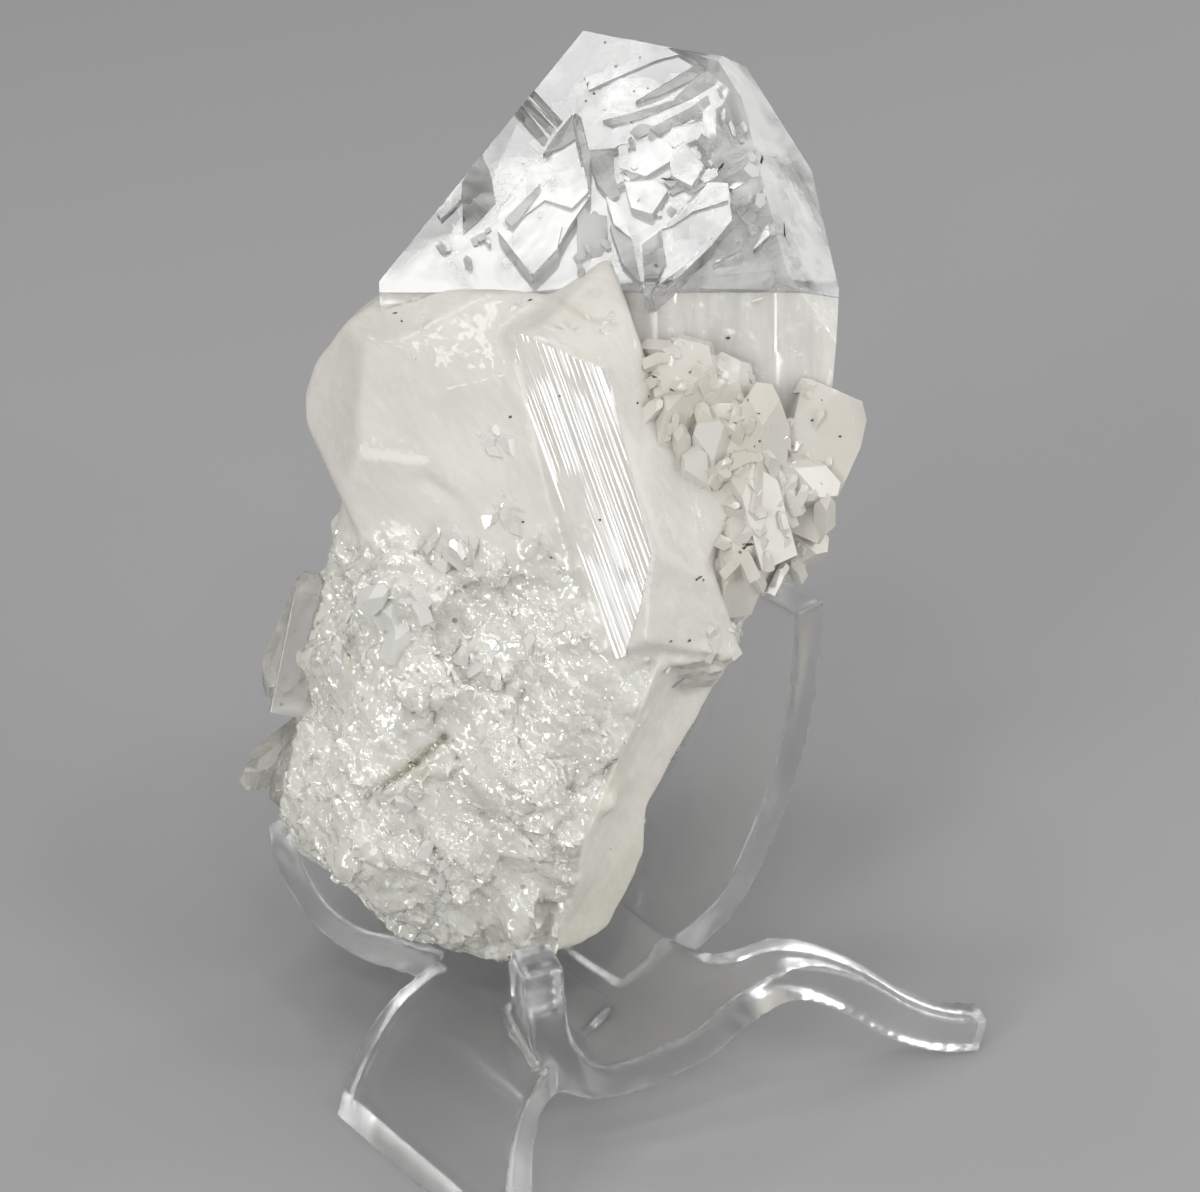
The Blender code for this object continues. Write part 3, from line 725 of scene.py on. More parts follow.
def body_blocks():
    """Blocks and lumps that are fused into the milky, frosted and cleaved body."""
    pieces = [block(*row) for row in BODY_BLOCKS]
    for seed, sunk, rows in ((40, 0.8, LUMPS), (140, 0, JOINTS), (80, 0, BACKS)):
        for index, ((x, y, z), extent) in enumerate(rows):
            pieces.append(chunk((x, y, z - sunk), extent, seed + index))
    return pieces


def soften(piece, rounds, group=""):
    """Smooth an object, or only its points in a group."""
    rounding = piece.modifiers.new("soften", "SMOOTH")
    rounding.factor = 0.5
    rounding.iterations = rounds
    rounding.vertex_group = group


def remesh(piece, size, rounds):
    """Fuse what overlaps in an object into one even skin, then soften it."""
    fuse = piece.modifiers.new("fuse", "REMESH")
    fuse.mode = "VOXEL"
    fuse.voxel_size = size * MM
    soften(piece, rounds)
    apply_modifiers(piece)


def read(rows, key, width):
    """Numbers of every point or face of a mesh, width of them each."""
    values = np.zeros(len(rows) * width)
    rows.foreach_get(key, values)
    return values.reshape(-1, width)


def in_cluster(points, normals):
    """Points and normals taken from the row frame into the cluster's frame."""
    back = np.array(PLACING.inverted())
    return points @ back[:3, :3].T + back[:3, 3], normals @ (back[:3, :3] * MM).T


def local_points(mesh):
    """Points and normals of a mesh in the cluster's frame."""
    return in_cluster(read(mesh.vertices, "co", 3), read(mesh.vertices, "normal", 3))


def pixels(points):
    """Where the camera sees points of the cluster's frame, and the size of a pixel there."""
    x, y, z = points.T
    scale = (EYE.z - z) / FOCAL
    return PHOTO_MIDDLE[0] + (x - EYE.x) / scale, PHOTO_MIDDLE[1] - (y - EYE.y) / scale, scale


def past_left_edge(x, y):
    """How far to the right of the long crystal's left edge a point lies."""
    return x - (-4.5 + (62.5 - y) * 0.306)


def past_flank_edge(x, y):
    """How far to the right of the cleaved flank's front edge a point lies."""
    return x - (4.2 - (24.4 - y) * 0.27)


def rising(value, width):
    """0 below zero, 1 above the width, and even between them."""
    return np.clip(value / width, 0, 1)


def displace(mesh, points, normals, height):
    """Move the points of a mesh along their normals by so many millimetres."""
    ahead = np.array(PLACING)
    moved = (points + normals * height[:, None]) @ ahead[:3, :3].T + ahead[:3, 3]
    mesh.vertices.foreach_set("co", moved.reshape(-1))
    mesh.update()


def scramble(cells, seed):
    """Three even random numbers from 0 to 1 for each whole-numbered cell."""
    a = cells.astype(np.int64)
    mixed = (a[:, 0] * 73856093) ^ (a[:, 1] * 19349663) ^ (a[:, 2] * 83492791) ^ (seed * 2654435761)
    out = []
    for turn in (1, 2, 3):
        mixed = (mixed ^ (mixed >> 13)) * 1274126177 + turn * 374761393
        mixed = mixed & 0x7FFFFFFF
        mixed = mixed ^ (mixed >> 11)
        out.append((mixed % 100003) / 100003)
    return np.stack(out, axis=1)


def shards(points, size, seed, squeeze=1):
    """Relief of broken facets: space is split into cells, and each cell tilts its own way.  Cells
    that are squeezed by less than one run long in the direction of the breaks."""
    grid = points / size
    if squeeze < 1:
        along = np.array(Vector(BREAKS).normalized())
        grid = grid - np.outer(grid @ along, along) * (1 - squeeze)
    base = np.floor(grid)
    best = np.full(len(grid), 1e9)
    offset = np.zeros_like(grid)
    tilt = np.zeros_like(grid)
    for step in itertools.product((-1, 0, 1), repeat=3):
        cell = base + step
        gap = grid - cell - scramble(cell, seed)
        distance = (gap ** 2).sum(axis=1)
        near = distance < best
        best[near] = distance[near]
        offset[near] = gap[near]
        tilt[near] = scramble(cell, seed + 77)[near] * 2 - 1
    return (offset * tilt).sum(axis=1) * size


def smooth_noise(points, size, seed):
    """Soft noise in space, one value from -1 to 1 for each point."""
    shift = Vector((seed * 13.7, seed * 5.1, seed * 9.3))
    return np.array([noise.noise(Vector(p) / size + shift) for p in points])


def fused_body():
    """Milky, frosted and cleaved body, fused from its blocks and lumps."""
    piece = new_object("milky_body", merge(body_blocks()))
    remesh(piece, BODY_SKIN, 5)
    calm = shape_body(piece.data)
    group = piece.vertex_groups.new(name="calm")
    group.add(calm, 1, "REPLACE")
    soften(piece, 1)
    soften(piece, 16, "calm")
    apply_modifiers(piece)
    piece.vertex_groups.clear()
    shade(piece, 34)
    return piece


# Where the frosted stone and the cleaved flank end upwards, and the long crystal down and back
FROST_TOP = 47
FLANK_TOP = 35
LONG_FOOT = 32.5
LONG_BACK = 6

# Creases seen in the frosted stone: a line of pixels, half width and depth in millimetres
CREASES = [
    ([(368, 800), (392, 778), (420, 757), (443, 741)], 0.45, 1.3),
    ([(369, 800), (383, 806), (405, 790), (430, 765)], 0.3, 0.5),
    ([(404, 790), (420, 830), (452, 880), (489, 903)], 0.35, 0.5),
    ([(424, 479), (455, 500), (479, 540), (470, 571), (440, 566)], 0.35, 0.6),
    ([(340, 600), (362, 570), (412, 573), (426, 610), (420, 636)], 0.35, 0.6),
    ([(352, 640), (350, 690), (330, 740)], 0.35, 0.5),
    ([(500, 590), (530, 640), (548, 700), (590, 735)], 0.35, 0.6),
    ([(524, 690), (512, 730), (530, 757), (576, 760)], 0.3, 0.6),
    ([(580, 765), (566, 806), (520, 822), (470, 812)], 0.35, 0.5),
    ([(300, 700), (345, 770), (372, 830), (398, 890), (440, 930)], 0.4, 0.5),
    ([(470, 600), (452, 650), (480, 690), (512, 690)], 0.3, 0.4)]

# Brownish seams: a line of pixels, half width in millimetres and strength
STAINS = [
    ([(376, 795), (392, 778), (420, 757), (443, 741)], 0.3, 0.75),
    ([(388, 800), (408, 788), (432, 762)], 0.45, 0.3), ([(500, 958), (516, 962)], 0.5, 0.5),
    ([(560, 300), (590, 318), (616, 322)], 0.35, 0.35), ([(440, 235), (460, 262), (500, 290)], 0.4, 0.3),
    ([(652, 362), (690, 378)], 0.5, 0.4), ([(395, 700), (410, 735)], 0.4, 0.15)]


def creases(points, rows):
    """Depth or strength at each point of the lines that the camera sees there."""
    px, py, scale = pixels(points)
    total = np.zeros(len(points))
    for line, half, depth in rows:
        gap = np.full(len(points), 1e9)
        for (ax, ay), (bx, by) in zip(line, line[1:]):
            run = (bx - ax) ** 2 + (by - ay) ** 2
            t = np.clip(((px - ax) * (bx - ax) + (py - ay) * (by - ay)) / run, 0, 1)
            gap = np.minimum(gap, np.hypot(px - ax - t * (bx - ax), py - ay - t * (by - ay)))
        total = np.maximum(total, depth * np.exp(-(gap * scale / half) ** 2))
    return total


def shape_body(mesh):
    """Relief in the mesh: broken steps on the frosted front and back, a slanting grain on the
    flank, and next to none on the milky crystals, whose points are returned."""
    points, normals = local_points(mesh)
    x, y, z = points.T
    edge = smooth_noise(points, 6, 1)
    frosted = rising(FROST_TOP + 3 * edge - y, 4)
    long_crystal = rising(past_left_edge(x, y) + 0.5, 1.5) * rising(y - LONG_FOOT - edge, 1.5)
    frosted = frosted * (1 - long_crystal * rising(z - LONG_BACK, 3))
    flank = (rising(past_flank_edge(x, y) + 1, 1.5) * rising(FLANK_TOP + edge - y, 2)
             * np.clip(normals[:, 0] * 3, 0, 1))
    frosted = frosted * (1 - flank)
    broken = (shards(points, 8, 21, 0.7) * 0.14 + shards(points, 3.6, 22, 0.6) * 0.18
              + shards(points, 1.7, 23, 0.6) * 0.20)
    streaked = points - np.outer(points @ np.array(BREAKS), np.array(BREAKS)) * 0.7
    across = x * 0.78 + y * 0.62 + 1.4 * edge
    ledges = np.mod(across / 3.4 + 0.4 * smooth_noise(points, 9, 2), 1) * 0.25
    fine = smooth_noise(streaked, 0.9, 5) * 0.05 + smooth_noise(streaked, 2, 6) * 0.12
    slanted = points * np.array((1, 0.22, 0.6)) + np.outer(y * 0.45, (1, 0, 0))
    grain = smooth_noise(slanted, 1.3, 3)
    low = smooth_noise(points, 5, 4)
    front = np.clip(normals[:, 2] * 2, 0, 1)
    height = (frosted * (broken + ledges + fine - 0.1 + 0.25 * low)
              + flank * (0.10 * grain + 0.2 * low)
              + (1 - frosted) * (1 - flank) * 0.16 * low - 0.2 - creases(points, CREASES) * front)
    displace(mesh, points, normals, height)
    stain = creases(points, STAINS) * front
    for name, values in (("frosted", frosted), ("flank", flank), ("stain", stain)):
        layer = mesh.attributes.new(name, "FLOAT", "POINT")
        layer.data.foreach_set("value", values.astype(np.float32))
    return np.nonzero((frosted < 0.3) & (flank < 0.5))[0].tolist()


def body_material():
    """Milky, frosted and cleaved stone, told apart by the relief's masks."""
    s = Surface("milky_body")
    frosted = s.attribute("frosted")
    clouds = s.noise(75, 3)
    milky = s.ramp(clouds, [(0.36, (0.61, 0.59, 0.542)), (0.64, (0.69, 0.67, 0.617))])
    green = s.ramp(clouds, [(0.34, (0.76, 0.76, 0.68)), (0.64, (0.87, 0.87, 0.79))])
    sallow = s.ramp(clouds, [(0.36, (0.72, 0.695, 0.61)), (0.62, (0.84, 0.82, 0.745))])
    tone = s.mix(s.attribute("flank"), s.mix(frosted, milky, green), sallow)
    run = s.stretched(BREAKS, (0, 0, 1), 3.5)
    veins = s.ramp(s.noise(520, 3, 0.7, 1.2, run), [(0.40, 0.90), (0.50, 1), (0.62, 1.08)])
    tone = s.mix(s.mix(frosted, 0.34, 0.6), tone, s.times(tone, veins))
    flecks = s.ramp(s.noise(1500, 2, 0.65, place=run), [(0.54, 0), (0.64, 1)])
    patches = s.ramp(s.noise(170, 2, 0.6, place=run), [(0.44, 0.04), (0.58, 1)])
    bright = s.times(s.times(flecks, patches), s.mix(frosted, 0.09, 0.5))
    tone = s.specks(s.mix(bright, tone, (1, 1, 0.98)), 330, 0.7)
    shiny = s.ramp(s.noise(120, 1, place=run), [(0.35, 0.35), (0.62, 1)])
    amount = s.times(shiny, s.mix(frosted, 0.10, 1))
    cells = s.cells(1900)
    facets = s.glitter(cells, 0.45, amount)
    s.put({"Base Color": s.mix(s.attribute("stain"), tone, STAIN_BROWN),
           "IOR": CRYSTAL_IOR,
           "Roughness": s.mix(frosted, 0.50, 0.24),
           "Transmission Weight": s.mix(frosted, 0, 0.22),
           "Coat Weight": s.mix(frosted, 0.14, 0.75),
           "Coat IOR": 1.8,
           "Coat Roughness": 0.05,
           "Coat Normal": s.glitter(cells, 0.8, amount),
           "Normal": s.bump(s.noise(420, 2, 0.6, place=run), 0.25, 0.0005, Normal=facets)})
    return s.material


def ridged_material():
    """Lengthwise ridges: a glossy milky crystal whose crisp white lines are painted highlights along its
    ridges.
    """
    s = Surface("ridged_face")
    tone = s.ramp(s.noise(120), [(0.36, (0.62, 0.605, 0.56)), (0.64, (0.70, 0.685, 0.64))])
    run = s.stretched(RIDGES, facing(STRIATED_TURN, STRIATED_TIP), 40)
    # Painted highlight: near-white lines in the base colour along the ridges, where their tilted facets
    # would mirror the lights, thinned out in patches
    lines = s.ramp(s.noise(2100, 3, 0.6, place=run), [(0.50, 0), (0.56, 1)])
    painted_highlight_patches = s.ramp(s.noise(420, 2, place=run), [(0.38, 0.25), (0.56, 1)])
    tone = s.mix(s.times(lines, painted_highlight_patches), tone, (1, 1, 0.99))
    s.put({"Base Color": s.specks(tone, 420, 0.7),
           "IOR": CRYSTAL_IOR,
           "Roughness": s.ramp(s.noise(500, 1), [(0.3, 0.05), (0.7, 0.14)]),
           "Specular IOR Level": 0.8})
    return s.material


# Small crystals

def small_crystal(scatter, place, widths, sink, length, cap, leans, nods):
    """Crystal of random width and tilt that stands where the camera's line meets the stone."""
    width = scatter.uniform(*widths)
    top = place + Vector((0, 0, width * scatter.uniform(*sink)))
    return crystal(top, width, width * scatter.uniform(0.7, 1.2), width * length, width * cap,
                   scatter.uniform(*leans), scatter.uniform(*nods), scatter.uniform(0, 90))


# Part of the photograph, left to right and top to bottom, that the small beige crystals cover
BEIGE_ACROSS = (655, 835)
BEIGE_DOWN = (340, 575)
BEIGE_COUNT = 170

# Large crystals of the beige group: top, width, depth, length, cap, lean, nod and twist
BEIGE_CRYSTALS = [
    ((13.8, 65.2, 13.8), 8.5, 7, 16, 1.6, 14, 14, 40),
    ((18, 63.5, 12.4), 6, 6, 14, 1.2, 24, 10, 20),
    ((20.6, 60.8, 14.5), 4.6, 4.6, 13, 0.8, 6, 4, 50),
    ((28.6, 60.2, 11), 7.6, 4.4, 15, 1.8, 24, 6, 12),
    ((28.4, 50, 12), 5, 4.6, 16, 0.7, 104, 6, 30),
    ((27.6, 44.4, 8), 6, 4, 14, 0.8, 96, 4, 25),
    ((23, 41.4, 6), 4.6, 4, 12, 0.8, 128, 4, 40),
    ((22.4, 51.2, 13.6), 5.4, 5, 12, 0.9, 34, 20, 35),
    ((19.6, 48.8, 14.6), 5.6, 5.6, 12, 1, 20, 26, 50),
    ((23.6, 57, 10.6), 5.2, 4.6, 14, 0.9, 40, 12, 15),
    ((18.2, 54, 15.8), 4.4, 4, 12, 0.7, -16, 18, 25)]


def right_cluster():
    """Group of beige crystals: the large ones listed, and small ones scattered over them."""
    large = merge([crystal(*row) for row in BEIGE_CRYSTALS])
    tree = BVHTree.FromBMesh(large)
    large.free()
    pieces = [crystal(*row) for row in BEIGE_CRYSTALS]
    scatter = random.Random(5)
    for _ in range(BEIGE_COUNT):
        ray = sight(scatter.uniform(*BEIGE_ACROSS), scatter.uniform(*BEIGE_DOWN)).normalized()
        place = tree.ray_cast(EYE, ray)[0]
        if place is not None:
            pieces.append(small_crystal(scatter, place, (0.6, 1.8), (-0.2, 0.3), 2.6, 0.18,
                                        (-40, 110), (10, 60)))
    return bevel(union("beige_crystals", pieces), 0.08, 1)


# Sparkling druse patches seen on the stone: pixel, reach in pixels, crystals and their widths
DRUSES = [
    ((491, 430), 20, 12, (1, 2.4)), ((502, 508), 17, 16, (0.8, 1.9)), ((450, 545), 26, 12, (0.9, 2.2)),
    ((397, 604), 28, 16, (1, 2.6)), ((480, 650), 17, 9, (0.9, 2.4)), ((455, 250), 34, 16, (0.8, 2.2)),
    ((512, 284), 24, 14, (0.7, 1.9)), ((590, 312), 28, 12, (0.8, 2.2)), ((722, 628), 15, 9, (0.8, 1.8)),
    ((560, 618), 26, 14, (0.6, 1.5)), ((560, 722), 30, 14, (0.7, 1.8)), ((450, 850), 36, 22, (0.6, 1.4)),
    ((520, 660), 30, 10, (0.7, 1.8)), ((340, 640), 26, 10, (0.7, 1.8)), ((390, 770), 26, 8, (0.8, 2)),
    ((500, 730), 22, 8, (0.8, 2))]


# Clear crystals among the beige ones: top, width, depth, length, cap, lean, nod and twist
CLEAR_CRYSTALS = [
    ((15, 57.2, 15), 4.6, 4.2, 6, 1.2, -12, 24, 40),
    ((17.6, 55.8, 14.2), 4.2, 4, 6, 1, 14, 30, 20),
    ((13.2, 54, 15.6), 4, 3.6, 5, 1, -30, 36, 45),
    ((16.2, 52.8, 15.2), 4.2, 3.8, 5, 1, 20, 40, 10)]


def druses(tree):
    """Patches of many small crystals that stand just proud of the stone around them."""
    scatter = random.Random(9)
    pieces = [crystal(*row) for row in CLEAR_CRYSTALS]
    for (px, py), reach, count, widths in DRUSES:
        for _ in range(count):
            turn = scatter.uniform(0, 2 * math.pi)
            away = reach * math.sqrt(scatter.uniform(0, 1))
            ray = sight(px + away * math.cos(turn), py + away * math.sin(turn)).normalized()
            place = tree.ray_cast(EYE, ray)[0]
            if place is not None:
                pieces.append(small_crystal(scatter, place, widths, (-0.4, 0.12), 1.8, 0.2,
                                            (-60, 60), (15, 80)))
    return bevel(union("druses", pieces), 0.06, 1)


# Crystals on the left side and the back: top, width, depth, length, cap, lean, nod and twist
OUTER_CRYSTALS = [
    ((-24.6, 41.6, 4), 5.2, 3, 15, 1.4, 12, 4, 10),
    ((-33.4, 19.4, 0), 3.6, 3.4, 13, 0.6, -128, 4, 40),
    ((-30.2, 28.6, 1), 3.8, 3.4, 12, 0.6, -158, 2, 20),
    ((-29.6, 17.6, 2.5), 5, 4, 12, 0.8, -142, 6, 25),
    ((-25, 12, 5), 4.6, 4.6, 11, 0.8, -132, 12, 40),
    ((-16, 64, -12), 9, 8, 16, 1.4, -22, -12, 30),
    ((2, 58, -19), 8, 7, 14, 1.2, 10, -18, 20),
    ((-24, 48, -8), 6.5, 6, 14, 1, -50, -14, 40)]


def outer_crystals():
    """Glassy crystals that reach out from the left side and the back."""
    return bevel(union("outer_crystals", [crystal(*row) for row in OUTER_CRYSTALS]), 0.12, 2)


# Flakes and inclusions

def splinter_shapes(seed, count=14):
    """A few broken shapes one unit long, wide and high: their points and triangles."""
    shapes = []
    for index in range(count):
        bm = chunk((0, 0, 0), (1, 1, 1), seed + index, 9, 0.7)
        bm.verts.index_update()
        triangles = [[v.index for v in f.verts] for f in bm.faces]
        shapes.append((np.array([v.co for v in bm.verts]), triangles))
        bm.free()
    return shapes


def splinters(name, spots, seed):
    """One object of many broken bits; a spot is (place, out, along, (length, width, height))."""
    shapes = splinter_shapes(seed)
    points = []
    faces = []
    count = 0
    for index, (place, out, along, extent) in enumerate(spots):
        corners, triangles = shapes[index % len(shapes)]
        out = Vector(out).normalized()
        along = (Vector(along) - out * Vector(along).dot(out)).normalized()
        frame_of_bit = np.array((along, out.cross(along), out)) * np.array(extent)[:, None]
        points.append(corners @ frame_of_bit + np.array(place))
        faces += [[count + corner for corner in triangle] for triangle in triangles]
        count += len(corners)
    mesh = bpy.data.meshes.new(name)
    mesh.from_pydata(np.concatenate(points).tolist(), [], faces)
    bm = bmesh.new()
    bm.from_mesh(mesh)
    bpy.data.meshes.remove(mesh)
    return new_object(name, bm)


def face_samples(mesh):
    """Middles, normals and areas of a mesh's faces in the cluster's frame."""
    middles, normals = in_cluster(read(mesh.polygons, "center", 3), read(mesh.polygons, "normal", 3))
    return middles, normals, read(mesh.polygons, "area", 1)[:, 0]


# Places in the photograph that sparkle most: pixel, reach in pixels and strength
SPARKLING = [
    ((450, 846), 45, 5), ((357, 600), 16, 5), ((560, 615), 32, 3), ((440, 520), 40, 2),
    ((480, 760), 40, 2), ((540, 720), 40, 2), ((560, 800), 35, 2), ((330, 720), 45, 1.5),
    ((480, 640), 25, 2), ((500, 510), 18, 4), ((380, 880), 40, 1.2), ((430, 690), 45, 1.5)]


def frosting(body, count=6000):
    """Broken bits that cover the frosted stone, thickest where the photograph sparkles."""
    middles, normals, areas = face_samples(body.data)
    x, y, z = middles.T
    px, py, _ = pixels(middles)
    patchy = np.exp(3.4 * smooth_noise(middles, 4, 8))
    for (cx, cy), reach, strength in SPARKLING:
        near = np.exp(-((px - cx) ** 2 + (py - cy) ** 2) / (2 * reach ** 2))
        patchy += strength * near * (normals[:, 2] > 0)
    frosted = rising(FROST_TOP - 0.5 + 2 * smooth_noise(middles, 6, 1) - y, 2)
    frosted *= 1 - rising(past_left_edge(x, y) + 0.5, 1) * (y > LONG_FOOT + 0.5) * (z > LONG_BACK)
    flank = (past_flank_edge(x, y) > 0) * (y < FLANK_TOP + 1) * (normals[:, 0] > 0.3)
    weight = areas * patchy * frosted * (1 - 0.9 * flank)
    chance = np.random.RandomState(7)
    chosen = chance.choice(len(middles), count, p=weight / weight.sum())
    spots = []
    for index in chosen:
        size = 0.28 + 1.25 * chance.rand() ** 3.5
        out = normals[index] + (chance.rand(3) - 0.5) * 0.9
        along = np.array((0.62, -0.78, 0.1)) + (chance.rand(3) - 0.5) * 1.1
        extent = (size * 1.6, size * (0.35 + 0.5 * chance.rand()), size * 0.5)
        spots.append((middles[index] - normals[index] * size * 0.13, out, along, extent))
    return splinters("frosting", spots, 300)


# Dark and golden grains and needles in the photograph: pixel, length, width and slope in degrees
DARK_GRAINS = [
    (728, 338, 14, 4, -55), (395, 313, 6, 4, 0), (402, 321, 5, 3, 40), (748, 545, 15, 11, 20),
    (697, 579, 6, 5, 0), (703, 580, 4, 4, 0), (594, 93, 6, 4, -30), (634, 91, 6, 4, -60),
    (588, 84, 8, 3, -80), (720, 168, 22, 4, -62), (761, 163, 20, 4, 85), (668, 179, 20, 4, 8),
    (785, 236, 34, 4, 58), (528, 300, 12, 6, -20), (745, 548, 9, 8, 60), (605, 42, 3, 3, 0),
    (640, 57, 3, 3, 0), (616, 66, 3, 3, 0), (586, 101, 4, 3, 0), (604, 110, 4, 3, 20),
    (632, 122, 5, 3, 0), (648, 88, 3, 3, 0), (523, 522, 4, 4, 0), (551, 558, 5, 4, 0),
    (560, 396, 4, 3, 0), (637, 403, 4, 4, 0), (600, 520, 4, 4, 0), (648, 396, 5, 5, 0),
    (690, 640, 8, 4, -30), (812, 420, 4, 4, 0), (840, 436, 4, 4, 0), (655, 377, 10, 3, 20),
    (672, 390, 9, 3, 30), (508, 957, 12, 6, 0), (513, 965, 8, 5, 30), (410, 762, 10, 3, -30)]
GOLD_GRAINS = [
    (758, 413, 7, 6, 0), (759, 441, 8, 6, 30), (754, 446, 5, 5, 0), (700, 577, 7, 5, 0),
    (671, 641, 6, 5, 0), (748, 400, 4, 4, 0), (792, 446, 5, 4, 0), (690, 372, 7, 3, -40),
    (510, 417, 5, 4, 0), (740, 552, 7, 6, 0), (650, 372, 5, 3, 0), (822, 400, 4, 3, 0)]
GRAIN_LIFT = 0.02
WHITE_NEEDLES = [
    (754, 302, 32, 7, -60), (548, 761, 28, 3, 0), (470, 668, 26, 5, 60), (566, 330, 34, 7, 50),
    (590, 320, 26, 5, 52), (420, 330, 44, 6, -75), (413, 360, 22, 4, -72), (796, 352, 10, 4, 70)]


def grains(name, rows, trees, lift, seed):
    """Bits that lie just in the surface where the camera's line through a pixel meets it."""
    spots = []
    for px, py, length, width, slope in rows:
        ray = sight(px, py).normalized()
        hits = [tree.ray_cast(EYE, ray) for tree in trees]
        hits = [hit for hit in hits if hit[0] is not None]
        if not hits:
            continue
        place, out, _, _ = min(hits, key=lambda hit: hit[3])
        scale = (EYE.z - place.z) / FOCAL
        slant = math.radians(slope)
        along = Vector((math.cos(slant), -math.sin(slant), 0))
        extent = (length * scale, width * scale, 0.35)
        spots.append((place + out * lift, out, along, extent))
    return splinters(name, spots, seed)


def seen_tree(piece):
    """Search tree of an object's faces in the cluster's frame."""
    bm = bmesh.new()
    bm.from_mesh(piece.data)
    bm.transform(PLACING.inverted())
    tree = BVHTree.FromBMesh(bm)
    bm.free()
    return tree


def grain_material(name, dark, pale):
    """Mottled dark or golden grain."""
    s = Surface(name)
    s.put({"Base Color": s.ramp(s.noise(2500, 3), [(0.4, dark), (0.6, pale)]), "Roughness": 0.35})
    return s.material


# Stand

# Thickness of the sheet, and where its lip, seat and tail head, in degrees
SHEET = 4.4
STAND_HEADING = 20


def smooth_route(stops, steps=9):
    """Smooth curve through the stops, so that the sheet bends softly."""
    rows = [Vector(stop) for stop in stops]
    rows = [rows[0] * 2 - rows[1]] + rows + [rows[-1] * 2 - rows[-2]]
    route = []
    for a, b, c, d in zip(rows, rows[1:], rows[2:], rows[3:]):
        for step in range(steps):
            t = step / steps
            route.append(0.5 * (2 * b + (c - a) * t + (2 * a - 5 * b + 4 * c - d) * t * t
                                + (3 * b - a - 3 * c + d) * t ** 3))
    route.append(rows[-2])
    return route


def strip(start, heading, skew, stops):
    """Closed bent strip of sheet along a smooth route."""
    along = Vector((math.cos(math.radians(heading)), math.sin(math.radians(heading)), 0))
    across = Vector((-along.y, along.x, 0))
    bm = bmesh.new()
    rails = []
    for run, height, near, far in smooth_route(stops):
        middle = Vector((start[0], start[1], height)) + along * run
        slant = across + along * skew
        rails.append([bm.verts.new(middle + slant * side) for side in (near, far)])
    for here, there in zip(rails, rails[1:]):
        bm.faces.new((here[0], there[0], there[1], here[1]))
    bm.transform(STAND_PLACING)
    mesh = bpy.data.meshes.new("strip")
    bm.to_mesh(mesh)
    bm.free()
    piece = bpy.data.objects.new("strip", mesh)
    link(piece)
    thick = piece.modifiers.new("sheet", "SOLIDIFY")
    thick.thickness = SHEET * MM
    thick.offset = 0
    thick.use_even_offset = True
    apply_modifiers(piece)
    solid = bmesh.new()
    solid.from_mesh(piece.data)
    bpy.data.objects.remove(piece)
    return faced_out(solid)


# Strips of the bent sheet: start, heading in degrees, slant of its edges and stops; a stop is how
# far along, how high, and where the strip's near and far edges lie
STRIPS = {
    "sweep": ((5.7, -15.5), STAND_HEADING, 0, [(-7.4, 23.4, 0, 5), (-7.2, 18.5, 0, 5.5),
        (-6.4, 13.4, 0, 9), (-3.8, 9, 0, 26), (0.6, 7.4, 0, 31), (6, 8.4, 0, 31),
        (10, 9.8, 0, 25), (14, 12.8, 0, 9), (20, 14.6, 0, 6), (26.2, 11.4, 0, 5),
        (32, 6.4, 0, 4.5), (37, 3.4, 0, 4), (42, 2, 0, 3.5)]),
    "front_foot": ((-5.4, -6), 240, 0.38, [(-9, 8.3, -9.4, 9.4), (-2, 8.6, -9.4, 9.4),
        (4, 9.2, -10, 10), (9, 8.6, -10.6, 10.8), (13, 5.8, -11.2, 12.4),
        (15.4, 2, -11.8, 14.6), (16.4, -3, -12.2, 15.4)]),
    "right_support": ((12.8, 5.8), 42, 0, [(-8, 7, 0, 16), (-3, 7.8, 0, 17),
        (3, 9, 0, 18), (7.8, 11.2, 0, 18), (11.2, 15.4, 0, 17), (14.4, 21.4, 0, 15),
        (16.8, 28.6, 0, 13.5), (18, 36, 0, 12.5), (18.2, 44, 0, 12)]),
    "left_support": ((-14.4, 2.8), -35, 0, [(9, 8.6, 3, 14), (2, 8.8, 0, 15),
        (-4, 8, 0, 16), (-9, 7.4, 0, 16), (-13.8, 8.6, 0, 15), (-17.1, 11.6, 0, 14),
        (-18.8, 14.8, 0, 12), (-19.3, 18.4, 0, 9)]),
    "rear_foot": ((-1, 14), 90, 0, [(-6, 8.7, -9, 9), (2, 10.1, -10, 10),
        (10, 12.4, -10.5, 10.5), (20, 12.6, -10, 10), (29, 8, -9, 9),
        (34, 2, -8.5, 8.5), (36, -3, -8, 8)]),
}


def stand():
    """One bent sheet: lip, seat, arch and tail in one sweep, and four feet and supports."""
    pieces = [strip(*row) for row in STRIPS.values()]
    piece = new_object("acrylic_stand", merge(pieces), Matrix.Identity(4))
    remesh(piece, STAND_SKIN, 12)
    flatten_feet(piece.data)
    shade(piece, 60)
    return piece


def flatten_feet(mesh):
    """Cut the stand off flat where it rests."""
    with opened(mesh) as bm:
        cut_flat(bm, Vector((0, 0, 0.00002)), Vector((0, 0, -1)))
        holes = [e for e in bm.edges if len(e.link_faces) == 1]
        if holes:
            bmesh.ops.holes_fill(bm, edges=holes, sides=0)
        bmesh.ops.triangulate(bm, faces=[f for f in bm.faces if len(f.verts) > 4])
        faced_out(bm)


def acrylic_material():
    """Clear sheet with a faintly worn and wavy surface."""
    s = Surface("clear_acrylic")
    s.put({"Base Color": 0.99,
           "IOR": ACRYLIC_IOR,
           "Transmission Weight": 1,
           "Roughness": s.ramp(s.noise(90, 3), [(0.35, 0.14), (0.7, 0.24)]),
           "Normal": s.bump(s.noise(45, 2), 0.1, 0.0006)})
    return s.material


# Stage, lights and camera

